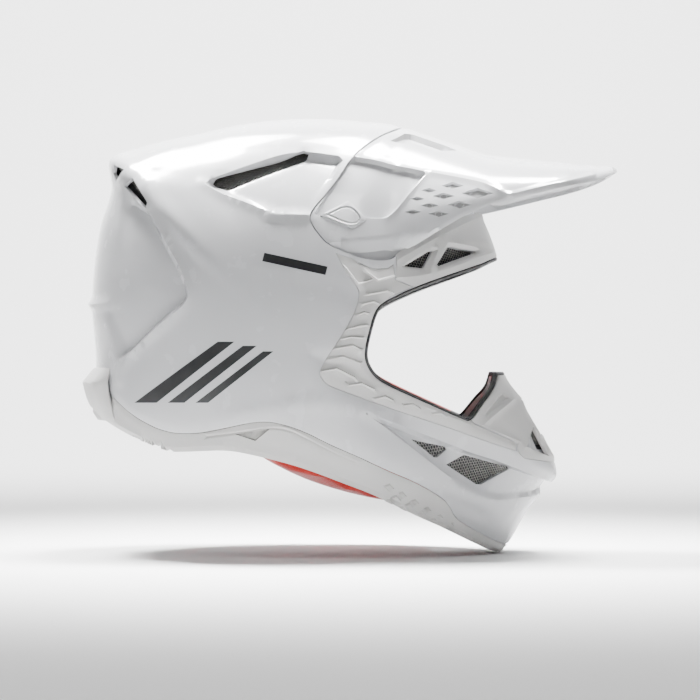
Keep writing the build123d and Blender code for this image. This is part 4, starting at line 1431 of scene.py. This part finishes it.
CHEEK_ZONE = np.array([
    (-29, -12), (42, -12), (52, -28), (95, -48), (112, -58), (112, -96), (74, -108), (59.5, -105.5),
    (40, -99.5), (21, -91.2), (1.5, -86), (-25.5, -72.3),
])


def build_cheek_backs():
    """Cloth that wraps over the back plate of each cheek pad."""
    loop = grown(CHEEK_ZONE, 0.8)

    def keep(x, z, y):
        return inside(x, z, loop)

    hem = [Ridge(np.vstack([grown(loop, -6), grown(loop, -6)[:1]]), -0.7, 2.0)]
    for side in (-1, 1):
        form = skin(Flank, 3.0, hem, [(loop, True)], keep, 1.5, base=-18.9, soft=0.8, sides=(side,))
        name = f"cheek_pad_plate_{SIDES[side]}"
        stand_in(f"{name}_cover", name, form, RED_CLOTH, 60)


# ------------------------------------------------------------------ chin strap
STRAP_X = 2.0            # distance forward of the webbing's middle
STRAP_HALF = 12.5
STRAP_INSET = 16.6       # of the hanging webbing from the shell's surface


def ribbon(name, path, side, node_name):
    """Webbing along a path across the helmet, as (distance from the middle, height)."""
    path = np.asarray(path, float)
    along = [path[0]]
    for start, end in zip(path[:-1], path[1:]):
        steps = max(1, int(np.hypot(*(end - start)) / 1.2))
        along += [start + (end - start) * (s + 1) / steps for s in range(steps)]
    along = np.array(along)
    for _ in range(3):
        along[1:-1] = 0.5 * along[1:-1] + 0.25 * (along[:-2] + along[2:])
    tangent = np.gradient(along, axis=0)
    tangent /= np.linalg.norm(tangent, axis=1)[:, None]
    normal = np.stack([-tangent[:, 1], tangent[:, 0]], -1)
    profile = []
    for i in range(17):
        share = -1 + i / 8
        profile.append((share * STRAP_HALF, 0.85 * (1 - abs(share) ** 8 * 0.6) + 0.12 * (abs(share) > 0.8)))
    ring = [(x, t) for x, t in profile] + [(x, -t) for x, t in profile[::-1]]
    verts, faces = [], []
    count = len(ring)
    for point, out in zip(along, normal):
        for x, t in ring:
            verts.append((STRAP_X + x, side * (point[0] + out[0] * t), point[1] + out[1] * t))
    for j in range(len(along) - 1):
        for i in range(count):
            a, b = j * count + i, j * count + (i + 1) % count
            faces.append((a, b, b + count, a + count))
    faces += [tuple(range(count))[::-1], tuple(range((len(along) - 1) * count, len(along) * count))]
    stand_in(name, node_name, (verts, faces), WEBBING, 60)
    return along, normal


def stitches(name, spots, side):
    """Short threads lying on the webbing, as (x, point, normal, direction across)."""
    verts, faces = [], []
    for x, point, out, lengthwise in spots:
        start = len(verts)
        for dx, ds in ((-0.3, -0.9), (0.3, -0.9), (0.3, 0.9), (-0.3, 0.9)):
            for t in (0.75, 1.15):
                base = point + out * t + lengthwise * ds
                verts.append((STRAP_X + x + dx, side * base[0], base[1]))
        faces += [(start, start + 2, start + 4, start + 6), (start + 1, start + 7, start + 5, start + 3)]
        for k in range(4):
            a, b = start + 2 * k, start + 2 * ((k + 1) % 4)
            faces.append((a, a + 1, b + 1, b))
    add_mesh(name, verts, faces, THREAD, "helmet", 60)


def build_straps():
    """Right band hanging free, left band looped round both rings' bars."""
    hang = [(float(flank(STRAP_X, z, STRAP_INSET)), z) for z in (-28, -34, -40, -46, -52)]
    turn = [(float(flank(STRAP_X, -62.0, STRAP_INSET)), -62.0)]
    right = hang + turn + [(50, -62.5), (32, -65), (14, -68), (2, -69)]
    along, normal = ribbon("strap_right_web", right, -1, "chin_strap_right")
    sew_on("strap_right_thread", along, normal, -1, (3, 14))
    angles = [math.radians(a) for a in range(0, 181, 20)]
    under = [(33 - 3.1 * math.cos(a), -68.2 - 3.1 * math.sin(a)) for a in angles]
    over = [(33 + 3.1 * math.cos(a), -64.6 + 3.1 * math.sin(a)) for a in angles]
    loop = [(50, -62.2), (40, -63.2)] + over[2:] + under + [(36.6, -65.6), (44, -64.8), (52, -64.4)]
    along, normal = ribbon("strap_left_web", hang + turn + loop, 1, "chin_strap_left")
    sew_on("strap_left_thread", along, normal, 1, (3, 14))


def sew_on(name, along, normal, side, span):
    """A box of stitching on the end of the webbing."""
    spots = []
    for x in np.linspace(-9.5, 9.5, 9):
        for index in range(span[0], span[1]):
            crossing = abs(abs(x) / 9.5 - abs(index - 8) / 6) < 0.14
            if abs(x) > 8 or index in (span[0], span[1] - 1) or crossing:
                direction = along[index + 1] - along[index]
                direction = direction / np.linalg.norm(direction)
                spots.append((x, along[index], normal[index], direction))
    stitches(name, spots, side)


build_shell()
build_trim()
build_brow()
build_mouthpiece()
build_seal()
build_rim()
build_rear_cover()
build_visor()
build_visor_floors()
build_caps()
build_screens()
build_stripes()
build_straps()
build_cheek_backs()
cushion("crown_pad", DARK_CLOTH, 5.0, 1.6, sew_crown)
cushion("neck_roll", DARK_CLOTH, 5.0, 1.6, sew_neck)
cushion("cheek_pad_right", RED_CLOTH, 4.5, 2.0, sew_cheek)
cushion("cheek_pad_left", RED_CLOTH, 4.5, 2.0, sew_cheek)

# ------------------------------------------------------------------ the frame's own parts that show
CAD_FINISH = [
    (BEADS, ["eps_liner", "chin_eps"]),
    (METAL, ["d_ring_upper", "d_ring_lower", "strap_anchor_plates", "strap_rivets"]),
    (BLACK_PLASTIC, [
        "cheek_pad_snaps", "visor_pivot_right", "visor_pivot_left", "visor_centre_boss", "visor_centre_screw",
    ]),
]
for finish, node_names in CAD_FINISH:
    for node_name in node_names:
        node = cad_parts[node_name]
        node.data.materials.clear()
        node.data.materials.append(finish)
